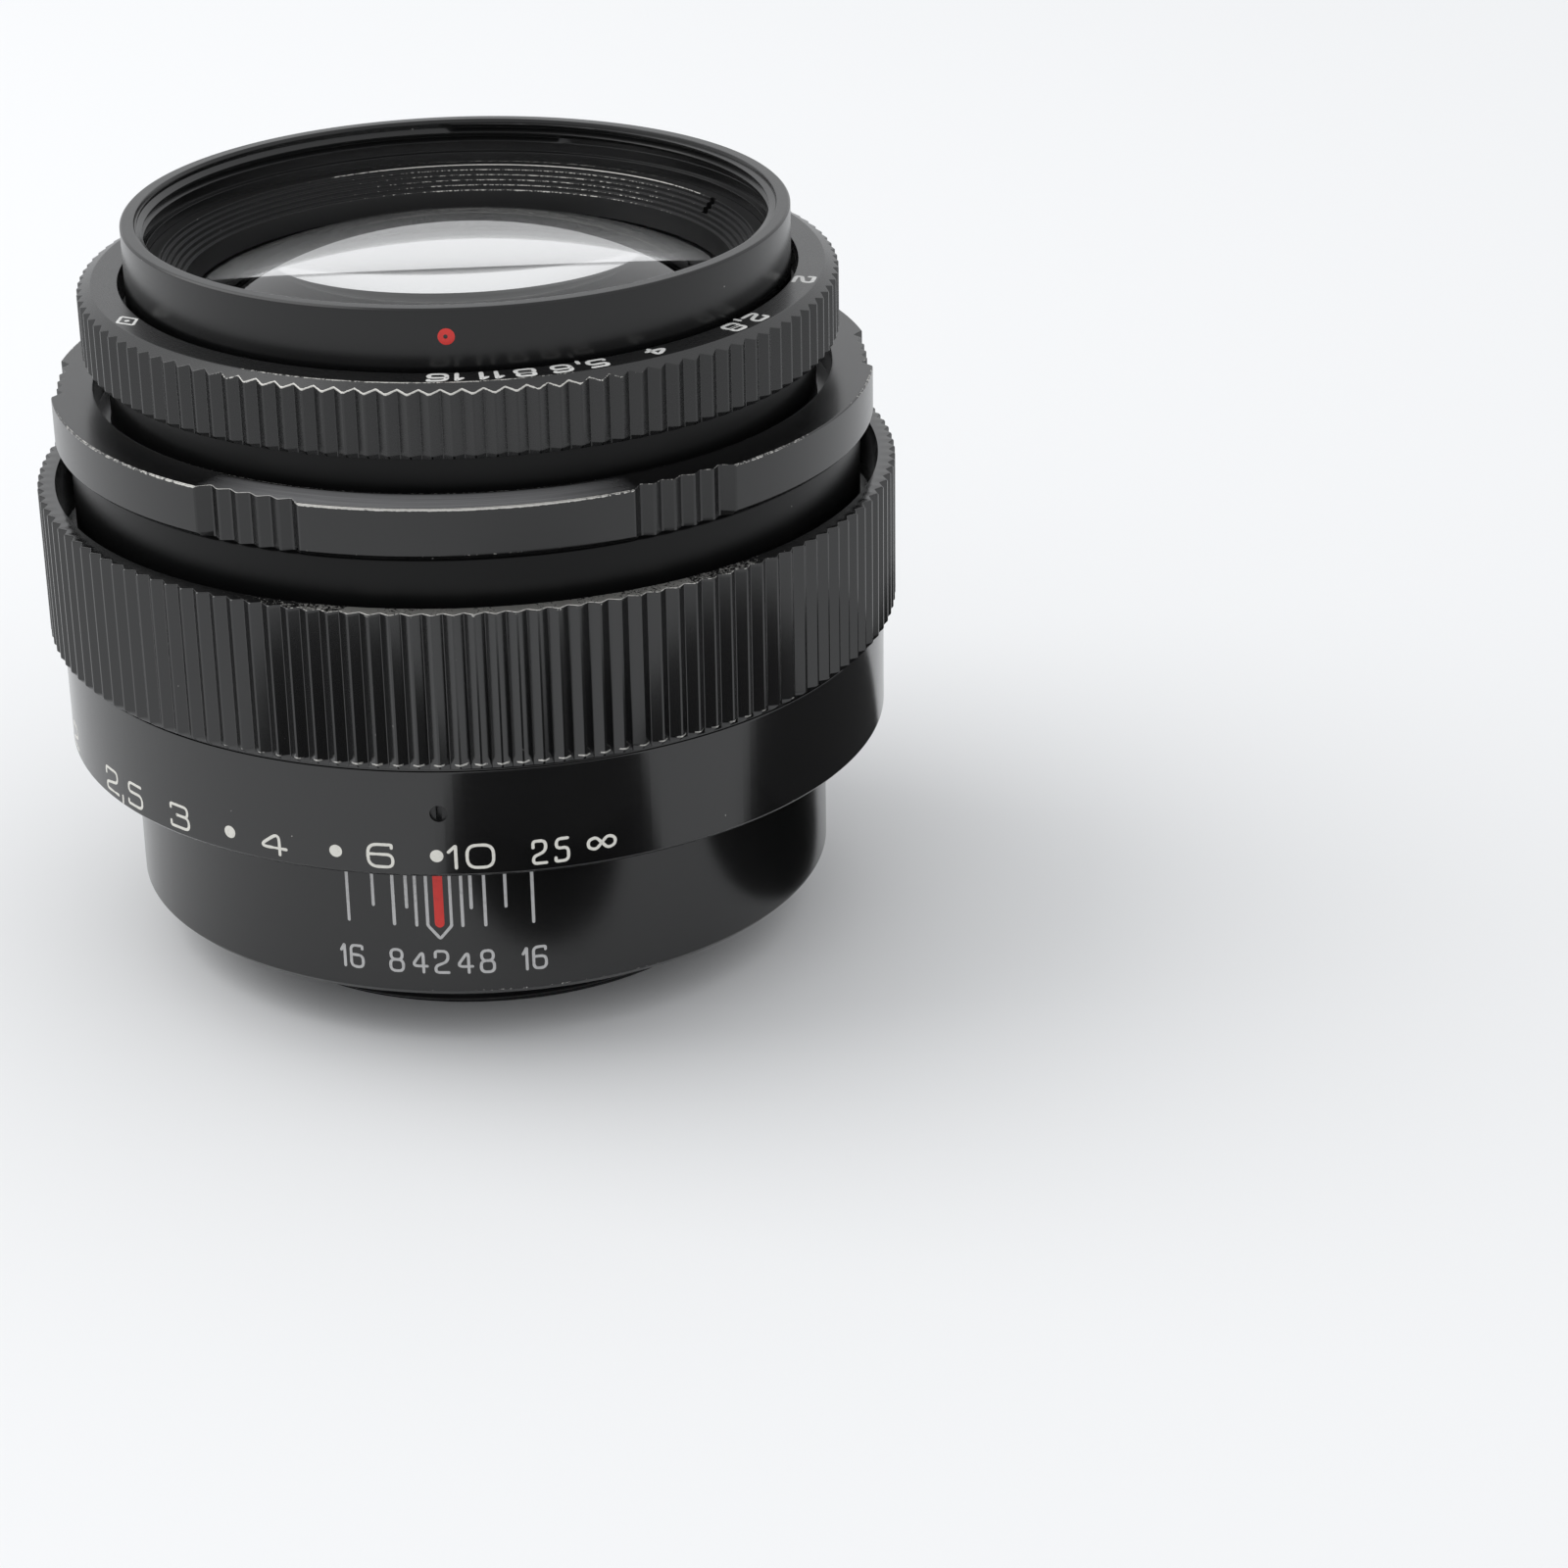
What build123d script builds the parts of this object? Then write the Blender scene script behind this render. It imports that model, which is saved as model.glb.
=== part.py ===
"""Preset portrait lens for a 42 mm screw-mount camera.

A fast prime of seven elements in three groups, with a helical focusing mount, a fifteen-blade iris,
an aperture ring and a preset ring.  Millimetres.  The optical axis is +Z and points forward, z = 0 is
the rear end of the camera thread, and the focus index faces -Y.  The lens is drawn focused at 8 m with
the iris fully open.
"""
import os
from math import asin, cos, degrees, radians, sin, sqrt

from build123d import *

# ---- camera thread and seat ----------------------------------------------------------------------
thread_radius = 21.0            # M42 x 1
thread_pitch = 1.0
thread_depth = 0.58
throat_radius = 18.6
seat_height = 4.5               # face that meets the camera
seat_radius = 24.4
relief_radius = 21.15           # undercut between the thread and the seat
relief_depth = 0.25
lip_height = 5.25               # joint between the mount ring's flange and the barrel's lip
lip_radius = 22.15
floor_height = 5.9              # top of the barrel's floor
mount_screw_circle = 23.1
mount_screw_angles = (30, 150, 270)
mount_screw_radius = 0.6
mount_screw_head = 1.1          # radius of the countersink
thread_turns = 4
thread_first = 0.5
thread_flat = 0.1               # half width of a crest

# ---- fixed barrel --------------------------------------------------------------------------------
barrel_radius = 28.0
barrel_bore = 26.3
barrel_edge = 0.5               # chamfer at the rear
barrel_flange_radius = 28.9
barrel_flange_bottom = 23.0
barrel_top = 24.4
key_screw_height = 19.5
key_screw_radius = 0.6
key_screw_head = 1.1
key_screw_start = 25.0          # inner end of the guide keys' screws
key_head_start = 27.2           # floor of their counterbores
stop_screw_height = 19.9
stop_screw_radius = 0.5
stop_clearance = 2.6            # angle from the end stop's centre to the stop pin's

# ---- focusing ------------------------------------------------------------------------------------
focus_radius = 33.77            # over the knurl
focus_teeth = 138
focus_tooth_depth = 0.5
focus_bottom = 26.05
focus_top = 38.36
focus_bore = 31.35
focus_rim_radius = 32.4         # inside the open groove around the optical unit
focus_groove_floor = 33.0
skirt_radius = 32.8
skirt_bottom = 17.0
skirt_top = 25.6
skirt_bore = 28.4
skirt_edge = 0.3                # chamfer at the skirt's rear
skirt_groove_radius = 32.45
skirt_groove_top = 26.65
knurl_rear_edge, knurl_front_edge = 0.45, 0.3
nut_radius = 30.65
nut_bottom = 19.2
nut_web_bottom = 24.6
nut_web_top = 26.0
nut_neck_radius = 28.4
nut_neck_top = 36.0
nut_bore = 26.0
clamp_radius = 29.0
clamp_bore = 28.05
clamp_bottom, clamp_top = 20.6, 22.8
focus_back_turn, focus_front_turn = 23.0, 250.0     # from 8 m to infinity, and to 0.8 m
set_screw_height = 22.24
set_screw_angle = -90 + 1.95
set_screw_radius = 0.65
set_screw_start = 29.6
set_screw_length = 2.95
set_screw_slot = 0.42
set_screw_slot_floor = 32.05
stop_pin_circle = 28.5
stop_pin_radius = 0.4
stop_pin_angle = 115.0

# ---- moving optical unit -------------------------------------------------------------------------
carrier_radius = 25.95
carrier_bore = 23.6
carrier_bottom = 7.0
carrier_top = 40.5
spigot_bore = 22.2
spigot_bottom, spigot_top = 36.0, 42.4
key_slot_top = 22.2
key_slot_arc = 8.3
key_arc = 8.0
key_inner_radius = 24.4
key_bottom, key_top = 18.0, 21.0
sleeve_radius = 31.0
sleeve_bore = 30.0
sleeve_bottom = 27.2
shoulder_top = 41.7
hub_radius = 27.6
hub_top = 48.4
hub_bore = 25.1
hub_ledge = 46.0
shoulder_edge = 0.25
slot_margin = 3.0               # angle left at each end of a stop slot

# ---- aperture and preset rings -------------------------------------------------------------------
ring_turn = 76.0                # full travel of either ring
aperture_radius = 32.07
aperture_bottom, aperture_top = 41.87, 45.86
aperture_bore = hub_radius + 0.05
aperture_rim_radius = 28.85
aperture_groove_floor = 43.2
grip_zones = 6
grip_grooves = 5
grip_pitch = 3.1
grip_offset = -90 - 22.5
grip_crest_radius = 31.6
grip_root_radius = 31.2
drive_screw_height = 44.0
drive_screw_radius = 0.6
drive_head_start, drive_head_radius = 30.0, 1.1
drive_slot_half = 0.75
drive_angle = 90.0
preset_radius = 29.43
preset_teeth = 118
preset_tooth_depth = 0.5
preset_bottom, preset_top = 48.5, 54.08
preset_stop_height = 50.0
preset_stop_radius = 0.5
preset_stop_slot_half = 0.6
preset_stop_slot_depth = 0.55
preset_bevel_radius, preset_bevel_height = 28.35, 0.53
preset_recess_radius, preset_recess_floor = 26.3, 51.5
click_angle = 200.0
click_ball_radius = 0.5

# ---- front barrel and front element --------------------------------------------------------------
front_radius = 25.75
front_top = 58.68
front_edge = 0.15
front_rim_bore = 24.7
front_rear = 47.4
front_seat_bore = 20.6
filter_thread_crest = 24.09     # M49 x 0.75
filter_thread_root = 24.5
filter_thread_pitch = 0.75
filter_thread_first = 57.28
filter_thread_turns = 2
filter_relief_radius = 24.55
filter_relief_bottom = 56.05
filter_thread_flat = 0.09       # half width of a crest
retainer_radius = 24.05
retainer_bottom, retainer_top = 51.4, 55.3
retainer_steps = 5              # ridges that break up stray light
retainer_step = 1 / 3
retainer_top_inner = 22.97
retainer_lip_radius, retainer_lip_bottom = 20.95, 52.05
retainer_notch_circle = 22.3
retainer_notch_angles = (35, 215)
front_glass_radius = 22.0
front_glass_seat = 48.9
front_glass_edge = 51.4
front_glass_curve = 52.0
front_glass_rear, front_glass_rear_curve, front_glass_rear_radius = 49.96, 230.0, 20.4

# ---- cells, cemented groups and iris -------------------------------------------------------------
cell_radius = 20.3
front_group_radius = 17.5
front_cell_bottom = 30.0
front_cell_lip = 31.15
front_cell_bore = 14.2
front_cell_mouth = 46.4         # start of the flare in front of the front group
rear_group_radius = 13.5
rear_cell_radius = 16.5
rear_cell_bottom = 7.6
rear_cell_bore = 12.6
rear_cell_lip = 25.2
rear_cell_flange = 0.9
rear_cell_taper, rear_cell_nose = 12.0, 15.0
iris_bottom, iris_top = 26.0, 30.0
iris_floor = 26.8
iris_bore = 19.6
iris_floor_bore = 13.6
blade_count = 15
blade_inner_radius = 13.1
blade_outer_radius = 17.7
blade_pivot_radius = 17.1
blade_span = 150.0              # pivot to drive pin
blade_heel, blade_toe = 3.5, 1.8    # how far the blade goes on past its pivot and past its drive pin
blade_thickness = 0.09
blade_layer = 0.14
blade_first_layer = 26.88
actuator_bottom, actuator_top = 29.05, 29.85
actuator_bore, actuator_radius = 14.3, 19.5
lug_arc = 14.0
arm_inner_radius, arm_outer_radius = 20.5, 21.7
arm_top = 45.2

os.makedirs("parts", exist_ok=True)


def half_plane(angle=0.0):
    """Plane through the optical axis at an angle from +X, with radius along its x and height along its y."""
    turn = radians(angle)
    return Plane(origin=(0, 0, 0), x_dir=(cos(turn), sin(turn), 0), z_dir=(sin(turn), -cos(turn), 0))


def outline(points, angle=0.0):
    """Closed section through (radius, height) points."""
    with BuildSketch(half_plane(angle)) as section:
        with BuildLine():
            Polyline(*points, close=True)
        make_face()
    return section.sketch


def box_outline(inner, outer, bottom, top, angle=0.0):
    """Rectangular section from inner to outer radius."""
    return outline([(inner, bottom), (outer, bottom), (outer, top), (inner, top)], angle)


def radial_plane(angle, radius, height):
    """Plane that faces outward at a point on a cylinder."""
    turn = radians(angle)
    return Plane(
        origin=(radius * cos(turn), radius * sin(turn), height),
        x_dir=(-sin(turn), cos(turn), 0),
        z_dir=(cos(turn), sin(turn), 0),
    )


def polar(radius, angle):
    """Point on a circle about the axis."""
    return (radius * cos(radians(angle)), radius * sin(radians(angle)))


def toothed_face(count, crest, depth, height):
    """Face bounded by straight V teeth."""
    step = 360 / count
    points = []
    for tooth in range(count):
        points.append(polar(crest, (tooth - 0.12) * step))
        points.append(polar(crest, (tooth + 0.12) * step))
        points.append(polar(crest - depth, (tooth + 0.5) * step))
    with BuildSketch(Plane.XY.offset(height)) as face:
        with BuildLine():
            Polyline(*points, close=True)
        make_face()
    return face.sketch


def grip_face(height):
    """Outline of the aperture ring: smooth lands with a group of V grooves between them."""
    half_zone = (grip_grooves / 2) * grip_pitch
    lands = []
    with BuildSketch(Plane.XY.offset(height)) as face:
        with BuildLine():
            for zone in range(grip_zones):
                centre = grip_offset + zone * 360 / grip_zones
                points = [polar(aperture_radius, centre - half_zone)]
                for groove in range(grip_grooves):
                    bottom = centre + (groove - (grip_grooves - 1) / 2) * grip_pitch
                    points.append(polar(grip_root_radius, bottom))
                    if groove < grip_grooves - 1:
                        points.append(polar(grip_crest_radius, bottom + grip_pitch / 2))
                points.append(polar(aperture_radius, centre + half_zone))
                Polyline(*points)
                CenterArc((0, 0), aperture_radius, centre + half_zone, 360 / grip_zones - 2 * half_zone)
        make_face()
    return face.sketch


def cap_depth(radius, curve):
    """Depth of a spherical cap."""
    return abs(curve) - sqrt(curve ** 2 - radius ** 2)


def lens_section(radius, front, front_curve, rear, rear_curve, rear_flat=None):
    """Half section of an element.  A positive curve has its centre behind the surface, 0 is flat."""
    rear_radius = rear_flat or radius

    def edge(vertex, curve, at):
        return vertex - (cap_depth(at, curve) if curve > 0 else -cap_depth(at, curve)) if curve else vertex

    with BuildSketch(half_plane()) as section:
        with BuildLine():
            front_edge = edge(front, front_curve, radius)
            rear_edge = edge(rear, rear_curve, rear_radius)
            for vertex, curve, at, end in (
                (front, front_curve, radius, front_edge),
                (rear, rear_curve, rear_radius, rear_edge),
            ):
                if curve:
                    middle = at / 2
                    ThreePointArc((0, vertex), (middle, edge(vertex, curve, middle)), (at, end))
                else:
                    Line((0, vertex), (at, end))
            if rear_flat:
                Line((rear_flat, rear_edge), (radius, rear_edge))
            Line((radius, rear_edge), (radius, front_edge))
            Line((0, front), (0, rear))
        make_face()
    return section.sketch


def save(piece, name):
    """Label a finished piece and write it."""
    piece.part.label = name
    export_step(piece.part, f"parts/{name}.step")


# ==== fixed body ==================================================================================
thread_profile = [(throat_radius, 0), (thread_radius - thread_depth, 0)]
for turn in range(thread_turns):
    crest = thread_first + turn * thread_pitch
    thread_profile += [(thread_radius, crest - thread_flat), (thread_radius, crest + thread_flat)]
    thread_profile += [(thread_radius - thread_depth, crest + thread_pitch / 2)]
thread_profile += [
    (thread_radius - thread_depth, seat_height + relief_depth),
    (relief_radius, seat_height + relief_depth),
    (relief_radius, seat_height),
    (seat_radius, seat_height),
    (seat_radius, lip_height),
    (lip_radius, lip_height),
    (lip_radius, floor_height),
    (throat_radius, floor_height),
]

with BuildPart() as mount_ring:
    revolve(outline(thread_profile), axis=Axis.Z)
    for angle in mount_screw_angles:
        with Locations(Plane.XY.offset(seat_height) * Location((*polar(mount_screw_circle, angle), 0))):
            Cylinder(mount_screw_radius, 4, mode=Mode.SUBTRACT)
            Cone(mount_screw_head, mount_screw_radius, 0.5, align=(Align.CENTER, Align.CENTER, Align.MIN), mode=Mode.SUBTRACT)
save(mount_ring, "mount_ring")

stop_screw_angles = (
    stop_pin_angle - focus_back_turn - stop_clearance,
    stop_pin_angle + focus_front_turn + stop_clearance,
)

with BuildPart() as base_barrel:
    revolve(outline([
        (barrel_bore, floor_height),
        (lip_radius, floor_height),
        (lip_radius, lip_height),
        (seat_radius, lip_height),
        (seat_radius, seat_height),
        (barrel_radius - barrel_edge, seat_height),
        (barrel_radius, seat_height + barrel_edge),
        (barrel_radius, barrel_flange_bottom),
        (barrel_flange_radius, barrel_flange_bottom),
        (barrel_flange_radius, barrel_top),
        (barrel_bore, barrel_top),
    ]), axis=Axis.Z)
    for angle in mount_screw_angles:
        with Locations(Location((*polar(mount_screw_circle, angle), lip_height))):
            Cylinder(mount_screw_radius, 4, mode=Mode.SUBTRACT)
    for angle in (0, 180):
        with BuildSketch(radial_plane(angle, key_screw_start, key_screw_height)):
            Circle(key_screw_radius)
        extrude(amount=4, mode=Mode.SUBTRACT)
        with BuildSketch(radial_plane(angle, key_head_start, key_screw_height)):
            Circle(key_screw_head)
        extrude(amount=2, mode=Mode.SUBTRACT)
    for angle in stop_screw_angles:
        with BuildSketch(radial_plane(angle, key_screw_start, stop_screw_height)):
            Circle(stop_screw_radius)
        extrude(amount=4, mode=Mode.SUBTRACT)
save(base_barrel, "base_barrel")

with BuildPart() as mount_screws:
    for angle in mount_screw_angles:
        place = polar(mount_screw_circle, angle)
        with Locations(Location((*place, seat_height + 0.05))):
            Cylinder(mount_screw_radius, 1.3, align=(Align.CENTER, Align.CENTER, Align.MIN))
            Cone(mount_screw_head - 0.06, mount_screw_radius, 0.45, align=(Align.CENTER, Align.CENTER, Align.MIN))
        with Locations(Location((*place, seat_height + 0.1))):
            Box(0.3, 3, 0.3, mode=Mode.SUBTRACT)
save(mount_screws, "mount_screws")

for side, angle in (("right", 0), ("left", 180)):
    with BuildPart() as guide_key:
        revolve(
            box_outline(key_inner_radius, barrel_bore, key_bottom, key_top, angle - key_arc / 2),
            axis=Axis.Z,
            revolution_arc=key_arc,
        )
        with BuildSketch(radial_plane(angle, key_screw_start, key_screw_height)):
            Circle(key_screw_radius)
        extrude(amount=2, mode=Mode.SUBTRACT)
    save(guide_key, f"guide_key_{side}")

with BuildPart() as guide_key_screws:
    for angle in (0, 180):
        with BuildSketch(radial_plane(angle, key_screw_start, key_screw_height)):
            Circle(key_screw_radius)
        extrude(amount=2.3)
        with BuildSketch(radial_plane(angle, key_head_start, key_screw_height)):
            Circle(key_screw_head)
            Rectangle(3, 0.3, mode=Mode.SUBTRACT)
        extrude(amount=0.7)
save(guide_key_screws, "guide_key_screws")

with BuildPart() as focus_stop_screws:
    for angle in stop_screw_angles:
        with BuildSketch(radial_plane(angle, barrel_bore + 0.3, stop_screw_height)):
            Circle(stop_screw_radius)
        extrude(amount=2.2)
save(focus_stop_screws, "focus_stop_screws")

# ==== focusing ring and nut =======================================================================
set_screw_angles = [set_screw_angle + 120 * k for k in range(3)]

with BuildPart() as focus_ring:
    revolve(outline([
        (focus_bore, focus_bottom),
        (focus_radius - knurl_rear_edge, focus_bottom),
        (focus_radius, focus_bottom + knurl_rear_edge),
        (focus_radius, focus_top - knurl_front_edge),
        (focus_radius - knurl_front_edge, focus_top),
        (focus_rim_radius, focus_top),
        (focus_rim_radius, focus_groove_floor),
        (focus_bore, focus_groove_floor),
    ]), axis=Axis.Z)
    extrude(
        toothed_face(focus_teeth, focus_radius, focus_tooth_depth, focus_bottom - 1),
        amount=focus_top - focus_bottom + 2,
        mode=Mode.INTERSECT,
    )
    revolve(outline([
        (skirt_bore, skirt_bottom),
        (skirt_radius - skirt_edge, skirt_bottom),
        (skirt_radius, skirt_bottom + skirt_edge),
        (skirt_radius, skirt_top),
        (skirt_groove_radius, skirt_top),
        (skirt_groove_radius, skirt_groove_top),
        (focus_bore, skirt_groove_top),
        (focus_bore, nut_web_top),
        (nut_radius, nut_web_top),
        (nut_radius, nut_bottom),
        (skirt_bore, nut_bottom),
    ]), axis=Axis.Z)
    for angle in set_screw_angles:
        with BuildSketch(radial_plane(angle, 30.0, set_screw_height)):
            Circle(set_screw_radius)
        extrude(amount=4, mode=Mode.SUBTRACT)
save(focus_ring, "focus_ring")

with BuildPart() as focus_helicoid:
    revolve(outline([
        (clamp_radius, nut_bottom),
        (nut_radius, nut_bottom),
        (nut_radius, nut_web_top),
        (nut_neck_radius, nut_web_top),
        (nut_neck_radius, nut_neck_top),
        (nut_bore, nut_neck_top),
        (nut_bore, nut_web_bottom),
        (clamp_radius, nut_web_bottom),
    ]), axis=Axis.Z)
    for angle in set_screw_angles:
        with BuildSketch(radial_plane(angle, set_screw_start, set_screw_height)):
            Circle(set_screw_radius)
        extrude(amount=2, mode=Mode.SUBTRACT)
save(focus_helicoid, "focus_helicoid")

with BuildPart() as helicoid_clamp_ring:
    revolve(box_outline(clamp_bore, clamp_radius, clamp_bottom, clamp_top), axis=Axis.Z)
    with Locations(Location((*polar(stop_pin_circle, stop_pin_angle), clamp_bottom))):
        Cylinder(stop_pin_radius, 1.6, mode=Mode.SUBTRACT)
save(helicoid_clamp_ring, "helicoid_clamp_ring")

with BuildPart() as focus_stop_pin:
    with Locations(Location((*polar(stop_pin_circle, stop_pin_angle), nut_bottom + 0.2))):
        Cylinder(stop_pin_radius, clamp_bottom - nut_bottom + 0.6, align=(Align.CENTER, Align.CENTER, Align.MIN))
save(focus_stop_pin, "focus_stop_pin")

with BuildPart() as focus_set_screws:
    for angle in set_screw_angles:
        with BuildSketch(radial_plane(angle, set_screw_start, set_screw_height)):
            Circle(set_screw_radius)
        extrude(amount=set_screw_length)
        with BuildSketch(radial_plane(angle, set_screw_slot_floor, set_screw_height)):
            Rectangle(set_screw_slot, 2)
        extrude(amount=1, mode=Mode.SUBTRACT)
save(focus_set_screws, "focus_set_screws")

# ==== optical unit: carrier and barrels ===========================================================
with BuildPart() as lens_carrier:
    revolve(outline([
        (carrier_bore, carrier_bottom),
        (carrier_radius, carrier_bottom),
        (carrier_radius, carrier_top),
        (carrier_bore, carrier_top),
        (carrier_bore, spigot_top),
        (spigot_bore, spigot_top),
        (spigot_bore, spigot_bottom),
        (carrier_bore, spigot_bottom),
    ]), axis=Axis.Z)
    for angle in (0, 180):
        revolve(
            box_outline(carrier_bore - 0.5, carrier_radius + 0.5, carrier_bottom - 1, key_slot_top,
                        angle - key_slot_arc / 2),
            axis=Axis.Z,
            revolution_arc=key_slot_arc,
            mode=Mode.SUBTRACT,
        )
save(lens_carrier, "lens_carrier")

with BuildPart() as main_barrel:
    revolve(outline([
        (sleeve_bore, sleeve_bottom),
        (sleeve_radius, sleeve_bottom),
        (sleeve_radius, shoulder_top - shoulder_edge),
        (sleeve_radius - shoulder_edge, shoulder_top),
        (hub_radius, shoulder_top),
        (hub_radius, hub_top),
        (hub_bore, hub_top),
        (hub_bore, hub_ledge),
        (carrier_bore, hub_ledge),
        (carrier_bore, carrier_top),
        (sleeve_bore, carrier_top),
    ]), axis=Axis.Z)
    revolve(
        box_outline(carrier_bore - 0.5, hub_radius + 0.5, drive_screw_height - drive_slot_half,
                    drive_screw_height + drive_slot_half, drive_angle - slot_margin),
        axis=Axis.Z,
        revolution_arc=ring_turn + 2 * slot_margin,
        mode=Mode.SUBTRACT,
    )
save(main_barrel, "main_barrel")

filter_profile = [(filter_relief_radius, filter_relief_bottom), (filter_relief_radius, filter_thread_first - 0.35)]
for turn in range(filter_thread_turns):
    crest = filter_thread_first + turn * filter_thread_pitch
    filter_profile += [(filter_thread_crest, crest - filter_thread_flat),
                       (filter_thread_crest, crest + filter_thread_flat)]
    filter_profile += [(filter_thread_root, crest + filter_thread_pitch / 2)]

with BuildPart() as front_barrel:
    revolve(outline([
        (front_seat_bore, front_rear),
        (hub_bore, front_rear),
        (hub_bore, hub_top),
        (front_radius, hub_top),
        (front_radius, front_top - front_edge),
        (front_radius - front_edge, front_top),
        (front_rim_bore, front_top),
        *reversed(filter_profile),
        (retainer_radius, filter_relief_bottom),
        (retainer_radius, retainer_bottom),
        (front_glass_radius, retainer_bottom),
        (front_glass_radius, front_glass_seat),
        (front_seat_bore, front_glass_seat),
    ]), axis=Axis.Z)
    revolve(
        box_outline(front_radius - preset_stop_slot_depth, front_radius + 0.5,
                    preset_stop_height - preset_stop_slot_half, preset_stop_height + preset_stop_slot_half,
                    drive_angle - ring_turn - slot_margin),
        axis=Axis.Z,
        revolution_arc=ring_turn + 2 * slot_margin,
        mode=Mode.SUBTRACT,
    )
    with BuildSketch(radial_plane(click_angle, 23.6, preset_stop_height)):
        Circle(click_ball_radius + 0.05)
    extrude(amount=3, mode=Mode.SUBTRACT)
save(front_barrel, "front_barrel")

retainer_profile = [(front_glass_radius, retainer_bottom), (retainer_radius, retainer_bottom)]
retainer_profile += [(retainer_radius, retainer_top), (retainer_top_inner, retainer_top)]
for step in range(1, retainer_steps + 1):
    across = step * retainer_step
    retainer_profile += [
        (retainer_top_inner - across + retainer_step - 0.05, retainer_top - across),
        (retainer_top_inner - across, retainer_top - across),
    ]
retainer_profile.append((retainer_lip_radius, retainer_lip_bottom))

with BuildPart() as front_retaining_ring:
    revolve(outline(retainer_profile), axis=Axis.Z)
    for angle in retainer_notch_angles:
        with BuildSketch(Plane.XY.offset(retainer_lip_bottom + 1.1)):
            with Locations(Location((*polar(retainer_notch_circle, angle), 0), (0, 0, angle))):
                Rectangle(1.5, 0.95)
        extrude(amount=3, mode=Mode.SUBTRACT)
save(front_retaining_ring, "front_retaining_ring")

# ==== glass and cells =============================================================================
front_vertex = front_glass_edge + cap_depth(front_glass_radius, front_glass_curve)

with BuildPart() as front_element:
    revolve(
        lens_section(front_glass_radius, front_vertex, front_glass_curve, front_glass_rear,
                     front_glass_rear_curve, rear_flat=front_glass_rear_radius),
        axis=Axis.Z,
    )
save(front_element, "front_element")

with BuildPart() as front_cell:
    revolve(outline([
        (front_cell_bore, front_cell_bottom),
        (cell_radius, front_cell_bottom),
        (cell_radius, hub_ledge),
        (hub_bore, hub_ledge),
        (hub_bore, front_rear),
        (front_group_radius + 0.6, front_rear),
        (front_group_radius, front_cell_mouth),
        (front_group_radius, front_cell_lip),
        (front_cell_bore, front_cell_lip),
    ]), axis=Axis.Z)
save(front_cell, "front_cell")

front_group = {
    "front_group_element_1": (49.0, 33.0, 43.0, 90.0, None),
    "front_group_element_2": (43.0, 90.0, 38.0, 200.0, None),
    "front_group_element_3": (38.0, 200.0, 36.5, 21.0, 14.0),
}
for name, (front, front_curve, rear, rear_curve, flat) in front_group.items():
    with BuildPart() as element:
        revolve(
            lens_section(front_group_radius, front, front_curve, rear, rear_curve, rear_flat=flat),
            axis=Axis.Z,
        )
    save(element, name)

with BuildPart() as front_group_retainer:
    revolve(outline([
        (16.6, 44.6),
        (front_group_radius, 44.2),
        (front_group_radius, 46.1),
        (16.9, 46.1),
        (16.6, 45.6),
    ]), axis=Axis.Z)
    with BuildSketch(Plane.XY.offset(45.4)):
        with PolarLocations(17.1, 2):
            Rectangle(2, 1.2)
    extrude(amount=2, mode=Mode.SUBTRACT)
save(front_group_retainer, "front_group_retainer")

with BuildPart() as rear_cell:
    revolve(outline([
        (rear_cell_bore, iris_bottom),
        (cell_radius, iris_bottom),
        (cell_radius, iris_bottom - rear_cell_flange),
        (rear_cell_radius, iris_bottom - rear_cell_flange),
        (rear_cell_radius, rear_cell_taper),
        (rear_cell_nose, rear_cell_bottom),
        (rear_group_radius, rear_cell_bottom),
        (rear_group_radius, rear_cell_lip),
        (rear_cell_bore, rear_cell_lip),
    ]), axis=Axis.Z)
save(rear_cell, "rear_cell")

rear_group = {
    "rear_group_element_1": (rear_cell_lip, 0.0, 23.0, 25.0),
    "rear_group_element_2": (23.0, 25.0, 11.5, -24.0),
    "rear_group_element_3": (11.5, -24.0, 8.6, -60.0),
}
for name, (front, front_curve, rear, rear_curve) in rear_group.items():
    with BuildPart() as element:
        revolve(lens_section(rear_group_radius, front, front_curve, rear, rear_curve), axis=Axis.Z)
    save(element, name)

with BuildPart() as rear_group_retainer:
    revolve(outline([
        (12.5, 8.0),
        (rear_group_radius, 8.0),
        (rear_group_radius, 10.1),
        (12.5, 9.85),
    ]), axis=Axis.Z)
    with BuildSketch(Plane.XY.offset(7.5)):
        with PolarLocations(13.0, 2):
            Rectangle(2, 1.2)
    extrude(amount=1.2, mode=Mode.SUBTRACT)
save(rear_group_retainer, "rear_group_retainer")

# ==== iris ========================================================================================
with BuildPart() as iris_housing:
    revolve(outline([
        (iris_floor_bore, iris_bottom),
        (cell_radius, iris_bottom),
        (cell_radius, iris_top),
        (iris_bore, iris_top),
        (iris_bore, iris_floor),
        (iris_floor_bore, iris_floor),
    ]), axis=Axis.Z)
    revolve(
        box_outline(iris_bore - 0.1, cell_radius + 0.5, actuator_bottom - 0.15, iris_top + 0.5,
                    drive_angle - lug_arc / 2 - slot_margin),
        axis=Axis.Z,
        revolution_arc=ring_turn + lug_arc + 2 * slot_margin,
        mode=Mode.SUBTRACT,
    )
save(iris_housing, "iris_housing")

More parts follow.
